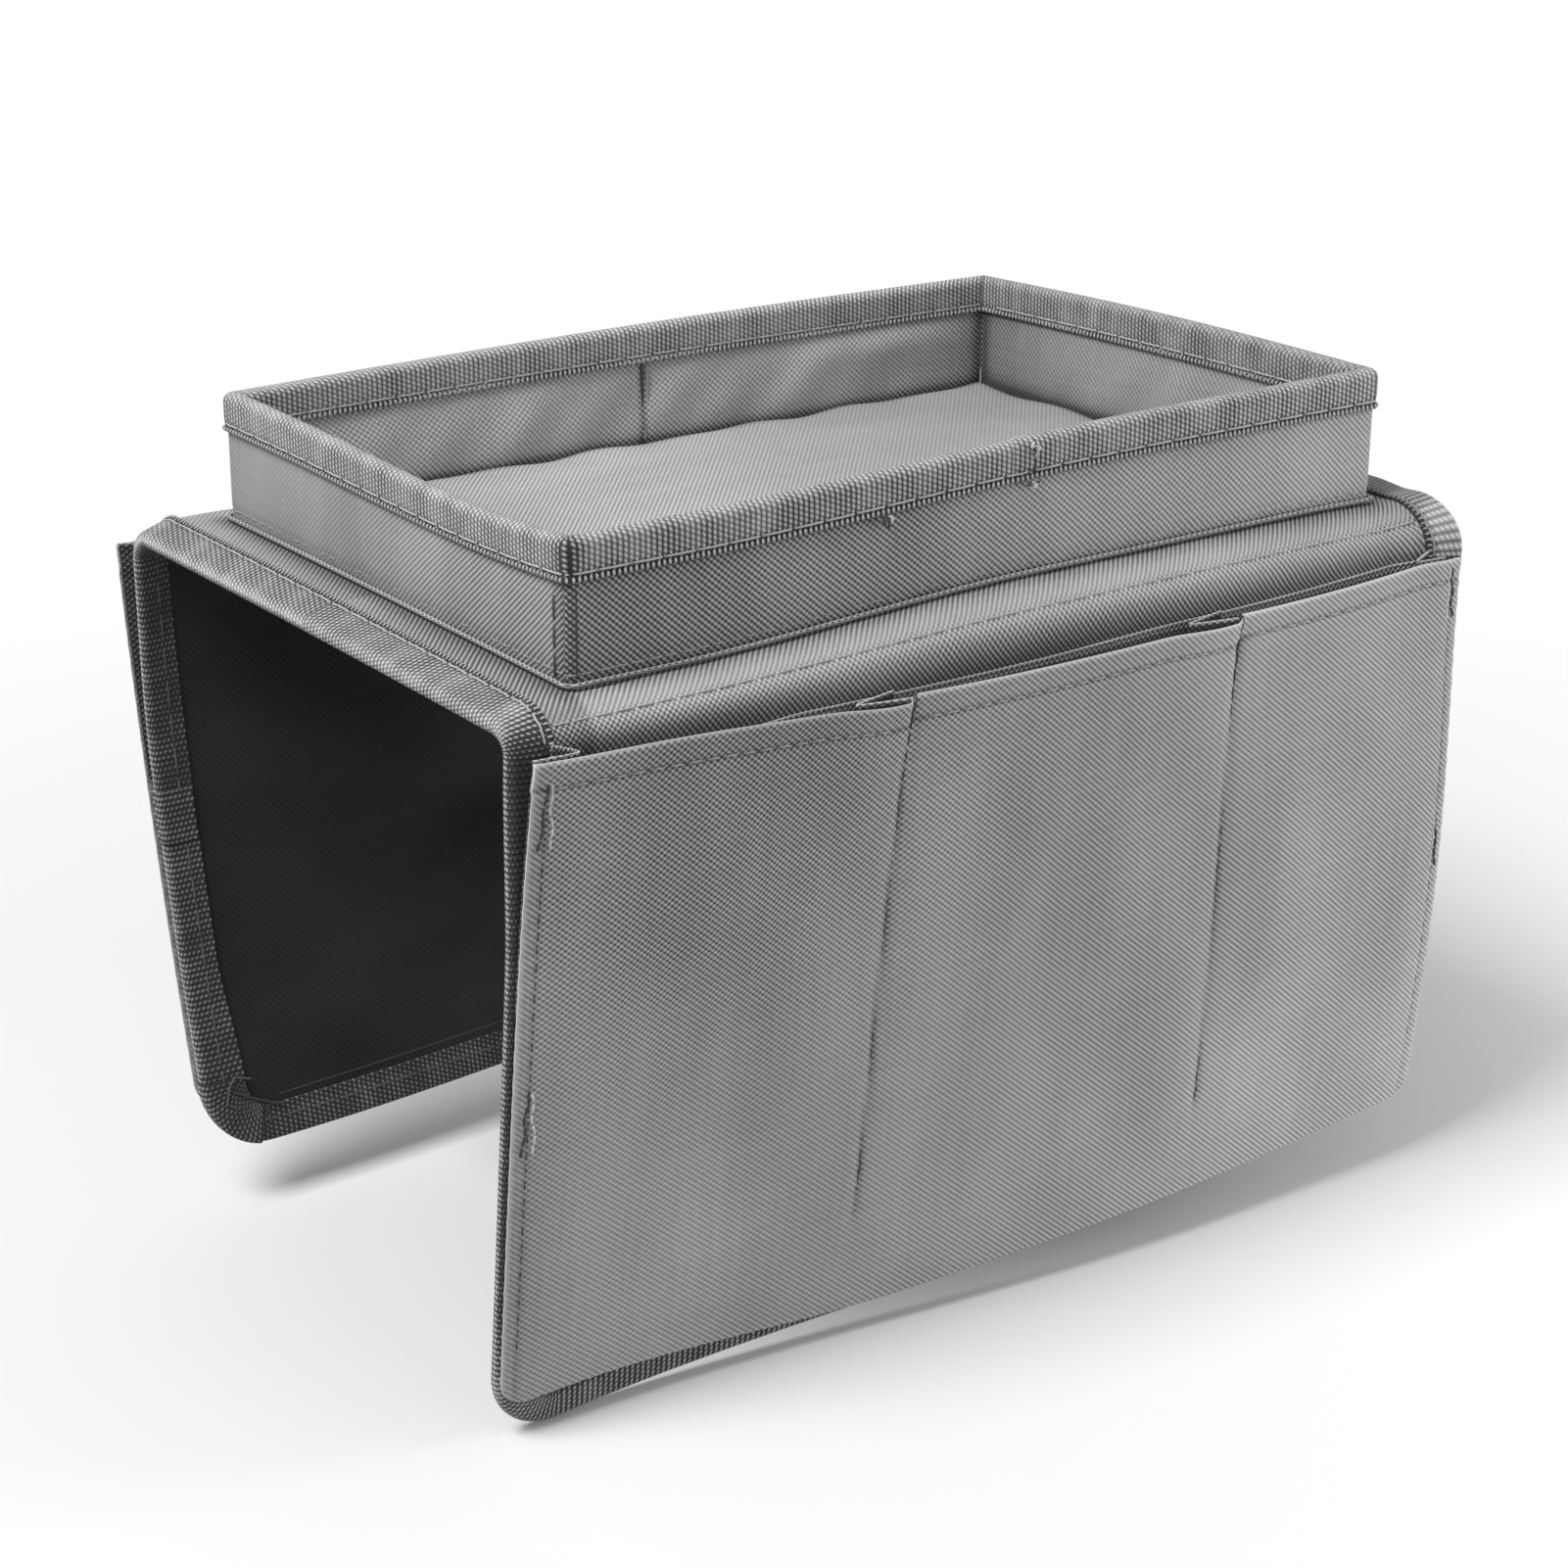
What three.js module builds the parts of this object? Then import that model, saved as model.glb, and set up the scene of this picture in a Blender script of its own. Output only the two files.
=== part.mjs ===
// Sofa armrest tray: a cloth saddle that hangs over a sofa arm, with a walled tray sewn on top,
// three pleated pockets on its front flap and two on its back flap.
//
// Millimetres, +Z up, +X along the arm, the front flap on the -Y side.
// The origin is the middle of the lining's underside, where the saddle lies on the arm.
//
// Every ply of the saddle is placed by three numbers: where it is along X, how far it is down a
// flap (the drop), and how far it stands out from the inner face of the lining (the lift).
import * as THREE from 'three';

// Plies of cloth and board
const clothThickness = 0.5;
const coreThickness = 1.4;
const plyGap = 0.3;

// Binding tape, folded over every raw edge
const tapeThickness = 0.7;
const tapeWidth = 11;
const tapeFoldRadius = 1.5;
const rawEdgeSetback = 1.2;

// Saddle
const saddleLength = 321;
const armWidth = 206.8;
const foldInnerRadius = 9;
const leftEndDroop = 3.4;
const rightEndLift = 1.5;
const curlFadeDrop = 60;
const cornerInnerRadius = 9;
const coreSetback = 1.5;

// Tray
const trayHeight = 38;
const trayLeftMargin = 23.2;
const trayRightMargin = 20;
const trayFrontMargin = 0;
const trayBackMargin = 9.4;
const trayCornerRadius = 3;
const wallBoardThickness = 2;
const floorBoardThickness = 1.6;
const outerWallCrown = 0.8;
const innerWallCrown = 2;
const floorSeamGap = 1;
const seamBeadRadius = 1;

// Pockets
const pocketInset = 0.5;
const leftPocketLap = 1.5;
const pocketCornerRadius = 8;
const hemWidth = 12;
const hemThickness = 2 * clothThickness;
const mouthRise = 1;
const mouthSag = 5;
const mouthSagPower = 0.8;
const pleatWidth = 15;
const edgePleatDrop = 70;
const innerPleatDrop = 140;

// How far a pocket's cloth stands off the flap
const edgeMouthDepth = 8.2;
const edgeFootDepth = 2.2;
const edgeDecayDrop = 45;
const edgeReach = 12;
const innerMouthDepth = 8.5;
const innerFootDepth = 3;
const bellyDepth = 1.8;
const bellyPower = 0.7;
const bellyFadePower = 3;
const gapeDepth = 3;
const gapeDecayDrop = 15;
const dividerWidth = 2;

// Flaps: how far they hang down and how much less at the right end, how far each end of the
// bottom edge leans in under the tray, how far the right edge bows out, how far the pocket cloth
// laps over the bottom tape at the right, and the seams that divide the pockets, measured from
// the left along the mouth, which slant to the left
const frontFlap = {
  name: 'front',
  side: -1,
  length: 200,
  bottomRise: 22,
  leftLean: 19.6,
  rightLean: 0.5,
  leanPower: 1.1,
  rightBow: 6,
  rightPocketLap: 9,
  dividers: [{ fromLeft: 116, slant: 9 }, { fromLeft: 231.5, slant: 4.4 }],
};
const backFlap = {
  name: 'back',
  side: 1,
  length: 180,
  bottomRise: 0,
  leftLean: 31,
  rightLean: 14,
  leanPower: 1.5,
  rightBow: 0,
  rightPocketLap: 1.5,
  dividers: [{ fromLeft: 160, slant: 0 }],
};
const leanTurnStart = 20;
const leanTurnEnd = 240;
const bowTurnStart = 200;
const lapTurnStart = 10;
const lapTurnEnd = 130;

// Facets: the flaps' plies turn their corners at fewer angles than the tape that covers them
const foldSteps = 6;
const plyCornerAngles = [30, 60, 84].map(THREE.MathUtils.degToRad);
const tapeRouteSteps = 5;
const tapeCornerSteps = 2;
const lengthSteps = 12;
const dropSteps = 8;
const cellSteps = 7;
const trayCornerSteps = 4;
const traySideSteps = [4, 6];
const trayRiseSteps = 4;
const beadSides = 8;

// Lifts of the plies, from the inner face of the lining outwards
const liningLift = [0, clothThickness];
const coreLift = [liningLift[1] + plyGap, liningLift[1] + plyGap + coreThickness];
const coverLift = [coreLift[1] + plyGap, coreLift[1] + plyGap + clothThickness];
const backingLift = [coverLift[1] + plyGap, coverLift[1] + plyGap + clothThickness];
const tapeLift = [-plyGap - tapeThickness, coverLift[1] + plyGap + tapeThickness];

const halfLength = saddleLength / 2;
const cornerRadius = cornerInnerRadius + tapeWidth;
const foldY = armWidth / 2 - foldInnerRadius;
const foldZ = -foldInnerRadius;
const pocketHalfWidth = halfLength - pocketInset;

// Materials
const finishes = {
  cloth: { color: 0x8c8c8c, roughness: 0.85, metalness: 0 },
  tape: { color: 0x6d6d6d, roughness: 0.9, metalness: 0 },
  lining: { color: 0x242424, roughness: 0.8, metalness: 0 },
  board: { color: 0x9a8f7c, roughness: 0.9, metalness: 0 },
  padding: { color: 0xc9c7c0, roughness: 1, metalness: 0 },
};

const saddle = new THREE.Group();

function addPiece(name, geometry, finish) {
  const mesh = new THREE.Mesh(geometry, new THREE.MeshStandardMaterial(finishes[finish]));
  mesh.name = name;
  saddle.add(mesh);
}

function smoothstep(low, high, value) {
  const t = Math.min(Math.max((value - low) / (high - low), 0), 1);
  return t * t * (3 - 2 * t);
}

// A closed geometry from points and triangles, turned the right way out
function closedGeometry(points, triangles) {
  let volume = 0;
  for (const [a, b, c] of triangles) {
    volume += points[a].dot(new THREE.Vector3().crossVectors(points[b], points[c]));
  }
  const facing = volume < 0 ? triangles.map(([a, b, c]) => [a, c, b]) : triangles;
  const geometry = new THREE.BufferGeometry().setFromPoints(points);
  geometry.setIndex(facing.flat());
  geometry.computeVertexNormals();
  return geometry;
}

// A ply: a grid of columns and rows with an inner and an outer face, and its edges closed.
// pointAt(column, row, face) gives a corner, with face 0 inside and 1 outside.
// A ring closes on itself along its columns.
function plyGeometry(columns, rows, pointAt, isRing = false) {
  const points = [];
  for (const face of [0, 1]) {
    for (let column = 0; column < columns; column += 1) {
      for (let row = 0; row < rows; row += 1) {
        points.push(pointAt(column, row, face));
      }
    }
  }
  const index = (column, row, face) => (face * columns + (column % columns)) * rows + row;
  const triangles = [];
  const addQuad = (a, b, c, d) => triangles.push([a, b, c], [a, c, d]);
  const lastColumn = isRing ? columns : columns - 1;
  for (let column = 0; column < lastColumn; column += 1) {
    const next = column + 1;
    for (let row = 0; row < rows - 1; row += 1) {
      addQuad(
        index(column, row, 1), index(next, row, 1), index(next, row + 1, 1), index(column, row + 1, 1),
      );
      addQuad(
        index(column, row + 1, 0), index(next, row + 1, 0), index(next, row, 0), index(column, row, 0),
      );
    }
    addQuad(index(column, 0, 0), index(next, 0, 0), index(next, 0, 1), index(column, 0, 1));
    const end = rows - 1;
    addQuad(index(column, end, 1), index(next, end, 1), index(next, end, 0), index(column, end, 0));
  }
  if (!isRing) {
    const end = columns - 1;
    for (let row = 0; row < rows - 1; row += 1) {
      addQuad(index(0, row, 0), index(0, row, 1), index(0, row + 1, 1), index(0, row + 1, 0));
      addQuad(index(end, row + 1, 0), index(end, row + 1, 1), index(end, row, 1), index(end, row, 0));
    }
  }
  return closedGeometry(points, triangles);
}

// A strip: one flat section carried through a list of stations.
// place(station, sectionPoint) gives a corner; the ends are capped unless the strip is a ring.
function stripGeometry(stations, section, place, isRing = false) {
  const points = [];
  for (let station = 0; station < stations; station += 1) {
    for (const sectionPoint of section(station)) {
      points.push(place(station, sectionPoint));
    }
  }
  const outline = section(0);
  const count = outline.length;
  const index = (station, corner) => (station % stations) * count + (corner % count);
  const triangles = [];
  const lastStation = isRing ? stations : stations - 1;
  for (let station = 0; station < lastStation; station += 1) {
    for (let corner = 0; corner < count; corner += 1) {
      const a = index(station, corner);
      const b = index(station + 1, corner);
      const c = index(station + 1, corner + 1);
      const d = index(station, corner + 1);
      triangles.push([a, b, c], [a, c, d]);
    }
  }
  if (!isRing) {
    const isClockwise = THREE.ShapeUtils.isClockWise(outline);
    for (const face of THREE.ShapeUtils.triangulateShape(outline, [])) {
      const isFaceClockwise = THREE.ShapeUtils.isClockWise(face.map((corner) => outline[corner]));
      const [a, b, c] = isFaceClockwise === isClockwise ? face : [face[0], face[2], face[1]];
      triangles.push([index(0, a), index(0, b), index(0, c)]);
      const end = stations - 1;
      triangles.push([index(end, a), index(end, c), index(end, b)]);
    }
  }
  return closedGeometry(points, triangles);
}

// The section of a tape folded over an edge: x is the distance in from the outside of the fold,
// y goes across it from low to high. The fold's two corners are rounded, outside and inside.
function foldedTapeSection(low, high) {
  const corner = (radius, y, firstAngle, lastAngle) => {
    const arc = [];
    for (let step = 0; step <= tapeCornerSteps; step += 1) {
      const turn = firstAngle + ((lastAngle - firstAngle) * step) / tapeCornerSteps;
      const angle = THREE.MathUtils.degToRad(turn);
      arc.push(new THREE.Vector2(tapeFoldRadius + radius * Math.cos(angle), y + radius * Math.sin(angle)));
    }
    return arc;
  };
  const insideRadius = tapeFoldRadius - tapeThickness;
  return [
    new THREE.Vector2(tapeWidth, high),
    ...corner(tapeFoldRadius, high - tapeFoldRadius, 90, 180),
    ...corner(tapeFoldRadius, low + tapeFoldRadius, 180, 270),
    new THREE.Vector2(tapeWidth, low),
    new THREE.Vector2(tapeWidth, low + tapeThickness),
    ...corner(insideRadius, low + tapeFoldRadius, 270, 180),
    ...corner(insideRadius, high - tapeFoldRadius, 180, 90),
    new THREE.Vector2(tapeWidth, high - tapeThickness),
  ];
}
const edgeTapeSection = () => foldedTapeSection(tapeLift[0], tapeLift[1]);

// The bound ends curl: the left one droops and the right one stands up a little
function curlAt(x, drop = 0) {
  const reach = Math.max(0, 1 - (halfLength - Math.abs(x)) / tapeWidth);
  const full = x < 0 ? -leftEndDroop : rightEndLift;
  return full * reach * (1 - smoothstep(0, curlFadeDrop, drop));
}

// How far a flap leans in under the tray at a place along it and a drop, less its bow outwards
function leanAt(flap, x, drop) {
  const fromLeft = x + halfLength;
  const turn = smoothstep(leanTurnStart, leanTurnEnd, fromLeft);
  const bottomLean = flap.leftLean + (flap.rightLean - flap.leftLean) * turn;
  const down = Math.min(Math.max(drop / flap.length, 0), 1);
  const bow = flap.rightBow * smoothstep(bowTurnStart, saddleLength, fromLeft) * Math.sin(Math.PI * down);
  return bottomLean * down ** flap.leanPower - bow;
}

function pointOnTop(x, y, lift) {
  return new THREE.Vector3(x, y, lift + curlAt(x));
}

function pointOnFold(flap, x, angle, lift) {
  const radius = foldInnerRadius + lift + curlAt(x);
  const y = foldY + radius * Math.sin(angle);
  return new THREE.Vector3(x, flap.side * y, foldZ + radius * Math.cos(angle));
}

function pointOnFlap(flap, x, drop, lift, curl = curlAt(x, drop)) {
  const y = armWidth / 2 + lift + curl - leanAt(flap, x, drop);
  const rise = (flap.bottomRise * (drop / flap.length) * (x + halfLength)) / saddleLength;
  return new THREE.Vector3(x, flap.side * y, foldZ - drop + rise);
}

// Places along X that the flat plies share, so that they bend alike, with the bound ends added
function lengthLines(setback) {
  const straight = halfLength - cornerRadius;
  const lines = [];
  for (let step = 0; step <= lengthSteps; step += 1) {
    lines.push(-straight + (2 * straight * step) / lengthSteps);
  }
  const end = halfLength - setback;
  const tapeEdge = halfLength - tapeWidth;
  const outer = end > tapeEdge ? [tapeEdge, end] : [end];
  return [...outer.map((x) => -x).reverse(), ...lines, ...outer];
}

// A ply of a flap: its outline stands in from the flap's by the setback, and so does its corner
function flapPly(flap, setback, lifts, topDropAt) {
  const xs = lengthLines(setback);
  const straight = halfLength - cornerRadius;
  const radius = cornerRadius - setback;
  const straightDrop = flap.length - cornerRadius;
  const rows = dropSteps + 1 + plyCornerAngles.length;
  return plyGeometry(xs.length, rows, (column, row, face) => {
    const x = xs[column];
    if (row === 0) {
      return pointOnFlap(flap, x, topDropAt(x), lifts[face]);
    }
    if (row <= dropSteps) {
      return pointOnFlap(flap, x, (straightDrop * row) / dropSteps, lifts[face]);
    }
    const angle = plyCornerAngles[row - dropSteps - 1];
    const beyond = Math.max(0, Math.abs(x) - straight);
    const rounded = Math.sign(x) * (Math.min(Math.abs(x), straight) + beyond * Math.cos(angle));
    return pointOnFlap(flap, rounded, straightDrop + radius * Math.sin(angle), lifts[face]);
  });
}

// The route of a flap's binding: down the left side, round both corners and up the right side.
// Each station has its place and the direction in from the edge, as X and drop.
function flapEdgeRoute(flap) {
  const straight = halfLength - cornerRadius;
  const straightDrop = flap.length - cornerRadius;
  const leftHalf = [];
  for (let step = 0; step < dropSteps; step += 1) {
    const drop = Math.max(plyGap, (straightDrop * step) / dropSteps);
    leftHalf.push({ x: -halfLength, drop, inX: 1, inDrop: 0 });
  }
  for (let step = 0; step <= tapeRouteSteps; step += 1) {
    const angle = (Math.PI / 2) * (step / tapeRouteSteps);
    leftHalf.push({
      x: -straight - cornerRadius * Math.cos(angle),
      drop: straightDrop + cornerRadius * Math.sin(angle),
      inX: Math.cos(angle),
      inDrop: -Math.sin(angle),
    });
  }
  for (let step = 1; step < lengthSteps / 2; step += 1) {
    leftHalf.push({ x: -straight + (2 * straight * step) / lengthSteps, drop: flap.length, inX: 0, inDrop: -1 });
  }
  const middle = { x: 0, drop: flap.length, inX: 0, inDrop: -1 };
  const rightHalf = leftHalf.map((at) => ({ ...at, x: -at.x, inX: -at.inX })).reverse();
  return [...leftHalf, middle, ...rightHalf];
}

// Pocket mouths: level with the end of the fold at the sides, and sagging between them
function mouthDropAt(x) {
  const across = (x + pocketHalfWidth) / (2 * pocketHalfWidth);
  return -mouthRise + mouthSag * Math.sin(Math.PI * Math.min(Math.max(across, 0), 1)) ** mouthSagPower;
}

function pocketBottomAt(flap, x) {
  const turn = smoothstep(lapTurnStart, lapTurnEnd, x + halfLength);
  return flap.length - tapeWidth + leftPocketLap + (flap.rightPocketLap - leftPocketLap) * turn;
}

// The two ends of the pocket cloth and the dividing seams between them, at a drop
function pocketBoundsAt(flap, drop) {
  const down = Math.min(Math.max(drop / flap.length, 0), 1);
  const seams = flap.dividers.map(({ fromLeft, slant }) => fromLeft - pocketHalfWidth - slant * down);
  return [-pocketHalfWidth, ...seams, pocketHalfWidth];
}

// The two sides of a pocket at a drop, clear of the dividing seams
function pocketSidesAt(flap, pocket, drop) {
  const bounds = pocketBoundsAt(flap, drop);
  const left = bounds[pocket] + (pocket === 0 ? 0 : dividerWidth / 2);
  const right = bounds[pocket + 1] - (pocket === flap.dividers.length ? 0 : dividerWidth / 2);
  return { left, right };
}

// How far the outer face of the pocket cloth stands off the cover
function pocketDepthAt(flap, x, drop) {
  const bounds = pocketBoundsAt(flap, drop);
  const last = flap.dividers.length;
  let pocket = 0;
  while (pocket < last && x > bounds[pocket + 1]) {
    pocket += 1;
  }
  const { left, right } = pocketSidesAt(flap, pocket, drop);
  const across = Math.min(Math.max((x - left) / (right - left), 0), 1);
  const down = Math.min(Math.max(drop / flap.length, 0), 1);
  const belowMouth = Math.max(drop + mouthRise, 0);
  const edge = edgeFootDepth + (edgeMouthDepth - edgeFootDepth) * Math.exp(-belowMouth / edgeDecayDrop);
  const inner = innerMouthDepth + (innerFootDepth - innerMouthDepth) * down;
  const fromEdge = 1 - Math.exp(-(pocketHalfWidth - Math.abs(x)) / edgeReach);
  const belly = bellyDepth * Math.sin(Math.PI * across) ** bellyPower * (1 - down ** bellyFadePower);
  const gape = pocket < last ? gapeDepth * across ** 2 * Math.exp(-belowMouth / gapeDecayDrop) : 0;
  return edge + (inner - edge) * fromEdge + belly + gape;
}

// The drops of the pocket cloth's facets at a place along it: the hem, then down to the corners
function pocketDropsAt(flap, x) {
  const mouth = mouthDropAt(x);
  const hem = [0, hemWidth / 2, hemWidth - clothThickness, hemWidth + clothThickness];
  const drops = hem.map((drop) => mouth + drop);
  const start = drops[drops.length - 1];
  const end = pocketBottomAt(flap, x) - pocketCornerRadius;
  for (let step = 1; step <= dropSteps; step += 1) {
    drops.push(start + ((end - start) * step) / dropSteps);
  }
  return drops;
}

// The pocket cloth: one piece across all pockets, with a hem turned in along the mouths.
// Its columns follow the slant of the dividing seams.
function pocketPanel(flap) {
  const columns = [];
  for (let pocket = 0; pocket <= flap.dividers.length; pocket += 1) {
    for (let step = 0; step <= cellSteps; step += 1) {
      columns.push((drop) => {
        const { left, right } = pocketSidesAt(flap, pocket, drop);
        return left + ((right - left) * step) / cellSteps;
      });
    }
  }
  const straight = pocketHalfWidth - pocketCornerRadius;
  columns.splice(1, 0, () => -straight);
  columns.splice(columns.length - 1, 0, () => straight);
  const straightRows = pocketDropsAt(flap, 0).length;
  const hemRows = straightRows - dropSteps - 1;
  return plyGeometry(columns.length, straightRows + plyCornerAngles.length, (column, row, face) => {
    let x = columns[column](0);
    let drop = pocketBottomAt(flap, x);
    if (row < straightRows) {
      drop = pocketDropsAt(flap, x)[row];
      x = columns[column](drop);
    } else {
      const angle = plyCornerAngles[row - straightRows];
      drop += pocketCornerRadius * (Math.sin(angle) - 1);
      x = columns[column](drop);
      const beyond = Math.max(0, Math.abs(x) - straight);
      x = Math.sign(x) * (Math.min(Math.abs(x), straight) + beyond * Math.cos(angle));
    }
    const thickness = row < hemRows ? hemThickness : clothThickness;
    const lift = coverLift[1] + pocketDepthAt(flap, x, drop) - (face === 0 ? thickness : 0);
    return pointOnFlap(flap, x, drop, lift, 0);
  });
}

// A pleat: the cloth of a pocket's side, folded back on itself, so that the pocket can open.
// It runs from the pocket cloth to a fold inside the pocket, and back out to the flap, and it
// ends where the pocket is too flat for its two layers.
function pocketPleat(flap, rootAt, direction, length, footLift) {
  const mouth = mouthDropAt(rootAt(0));
  const measure = (drop) => {
    const x = rootAt(drop);
    const outer = coverLift[1] + pocketDepthAt(flap, x, drop) - hemThickness - plyGap;
    const inner = footLift + Math.max(0, curlAt(x, drop));
    return { x, drop, middle: (outer + inner) / 2, half: (outer - inner) / 2 };
  };
  const facets = pocketDropsAt(flap, rootAt(0)).filter((drop) => drop > mouth && drop < length - plyGap);
  const stations = [mouth + plyGap, ...facets, length]
    .map(measure)
    .filter((at) => at.half > clothThickness + plyGap / 2);
  const section = (station) => {
    const { half } = stations[station];
    const tip = clothThickness / 2;
    const notch = (pleatWidth * (half - clothThickness)) / (half - tip);
    return [
      new THREE.Vector2(0, half),
      new THREE.Vector2(pleatWidth, tip),
      new THREE.Vector2(pleatWidth, -tip),
      new THREE.Vector2(0, -half),
      new THREE.Vector2(0, -half + clothThickness),
      new THREE.Vector2(notch, 0),
      new THREE.Vector2(0, half - clothThickness),
    ];
  };
  return stripGeometry(stations.length, section, (station, at) => {
    const { x, drop, middle } = stations[station];
    return pointOnFlap(flap, x + direction * at.x, drop, middle + at.y, 0);
  });
}

// Top panel
const topRows = [-foldY + plyGap, foldY - plyGap];
function topPly(lifts) {
  const tapeEdge = halfLength - tapeWidth;
  const end = halfLength - rawEdgeSetback;
  const xs = [-end, -tapeEdge, tapeEdge, end];
  return plyGeometry(xs.length, topRows.length, (column, row, face) => (
    pointOnTop(xs[column], topRows[row], lifts[face])
  ));
}
addPiece('top_lining', topPly(liningLift), 'lining');
addPiece('top_cover', topPly(coverLift), 'cloth');

const topBoard = new THREE.BoxGeometry(
  2 * (halfLength - tapeWidth - coreSetback),
  topRows[1] - topRows[0],
  coreThickness,
);
topBoard.translate(0, 0, (coreLift[0] + coreLift[1]) / 2);
addPiece('top_board', topBoard, 'board');

const ends = [{ name: 'left', direction: -1 }, { name: 'right', direction: 1 }];
for (const end of ends) {
  const xAt = (section) => end.direction * (halfLength - section.x);
  const geometry = stripGeometry(topRows.length, edgeTapeSection, (station, section) => (
    pointOnTop(xAt(section), topRows[station], section.y)
  ));
  addPiece(`top_binding_${end.name}`, geometry, 'tape');
}

// Folds, where the cloth and the lining bend over the edge of the arm with no board between them
for (const flap of [frontFlap, backFlap]) {
  const foldPly = (lifts) => {
    const tapeEdge = halfLength - tapeWidth;
    const end = halfLength - rawEdgeSetback;
    const xs = [-end, -tapeEdge, tapeEdge, end];
    return plyGeometry(xs.length, foldSteps + 1, (column, row, face) => (
      pointOnFold(flap, xs[column], (Math.PI / 2) * (row / foldSteps), lifts[face])
    ));
  };
  addPiece(`${flap.name}_fold_lining`, foldPly(liningLift), 'lining');
  addPiece(`${flap.name}_fold_cover`, foldPly(coverLift), 'cloth');
  for (const end of ends) {
    const geometry = stripGeometry(foldSteps + 1, edgeTapeSection, (station, section) => {
      const x = end.direction * (halfLength - section.x);
      return pointOnFold(flap, x, (Math.PI / 2) * (station / foldSteps), section.y);
    });
    addPiece(`${flap.name}_fold_binding_${end.name}`, geometry, 'tape');
  }
}

// Flaps: lining, padding and cover, bound together round three sides
for (const flap of [frontFlap, backFlap]) {
  const belowFold = () => plyGap;
  addPiece(`${flap.name}_flap_lining`, flapPly(flap, rawEdgeSetback, liningLift, belowFold), 'lining');
  addPiece(
    `${flap.name}_flap_padding`,
    flapPly(flap, tapeWidth + coreSetback, coreLift, belowFold),
    'padding',
  );
  addPiece(`${flap.name}_flap_cover`, flapPly(flap, rawEdgeSetback, coverLift, belowFold), 'cloth');
  const route = flapEdgeRoute(flap);
  const binding = stripGeometry(route.length, edgeTapeSection, (station, section) => {
    const at = route[station];
    return pointOnFlap(flap, at.x + at.inX * section.x, at.drop + at.inDrop * section.x, section.y);
  });
  addPiece(`${flap.name}_flap_binding`, binding, 'tape');
}

// Pockets: a backing cloth on the flap, the pocket cloth in front of it, and the pleats between
for (const flap of [frontFlap, backFlap]) {
  const backingTop = (x) => mouthDropAt(x) + plyGap;
  addPiece(
    `${flap.name}_pocket_backing`,
    flapPly(flap, tapeWidth + plyGap, backingLift, backingTop),
    'cloth',
  );
  addPiece(`${flap.name}_pocket_cloth`, pocketPanel(flap), 'cloth');
  const edgeX = pocketHalfWidth - plyGap;
  for (const end of ends) {
    const rootAt = () => end.direction * edgeX;
    const geometry = pocketPleat(flap, rootAt, -end.direction, edgePleatDrop, tapeLift[1] + plyGap);
    addPiece(`${flap.name}_pleat_${end.name}`, geometry, 'cloth');
  }
  for (let divider = 1; divider <= flap.dividers.length; divider += 1) {
    const rootAt = (drop) => pocketSidesAt(flap, divider - 1, drop).right;
    const geometry = pocketPleat(flap, rootAt, -1, innerPleatDrop, backingLift[1] + plyGap);
    addPiece(`${flap.name}_pleat_divider_${divider}`, geometry, 'cloth');
  }
}

// Tray: the outline of its walls, as a rounded rectangle that can be offset
const trayLeft = -halfLength + trayLeftMargin;
const trayRight = halfLength - trayRightMargin;
const trayFront = -foldY + trayFrontMargin;
const trayBack = foldY - trayBackMargin;
const trayCentre = new THREE.Vector2((trayLeft + trayRight) / 2, (trayFront + trayBack) / 2);
const trayHalf = new THREE.Vector2((trayRight - trayLeft) / 2, (trayBack - trayFront) / 2);
const trayBase = coverLift[1];
const trayTop = trayBase + trayHeight;
const wallFoot = trayBase + plyGap;
const wallTop = trayTop - rawEdgeSetback;
const tapeFoot = trayTop - tapeWidth;
const wallThickness = 2 * clothThickness + 2 * plyGap + wallBoardThickness;

// Stations round the tray: each is on a corner's arc or part of the way along a side.
// Corner 0 is the right back one, and they run anticlockwise seen from above.
const ringStations = [];
for (let corner = 0; corner < 4; corner += 1) {
  for (let step = 0; step <= trayCornerSteps; step += 1) {
    const angle = (Math.PI / 2) * (corner + step / trayCornerSteps);
    ringStations.push({ corner, angle, along: 0 });
  }
  const steps = traySideSteps[(corner + 1) % 2];
  for (let step = 1; step < steps; step += 1) {
    ringStations.push({ corner, angle: (Math.PI / 2) * (corner + 1), along: step / steps });
  }
}

// A place round the tray, moved out from the wall's outer face by an offset
function trayPoint(station, offset, z) {
  const { corner, angle, along } = ringStations[station];
  const radius = Math.max(trayCornerRadius + offset, clothThickness);
  const arcCentre = (number) => {
    const signX = number === 0 || number === 3 ? 1 : -1;
    const signY = number < 2 ? 1 : -1;
    return new THREE.Vector2(
      signX * (trayHalf.x + offset - radius),
      signY * (trayHalf.y + offset - radius),
    );
  };
  const centre = arcCentre(corner % 4).lerp(arcCentre((corner + 1) % 4), along);
  return new THREE.Vector3(
    trayCentre.x + centre.x + radius * Math.cos(angle),
    trayCentre.y + centre.y + radius * Math.sin(angle),
    z,
  );
}

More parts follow.
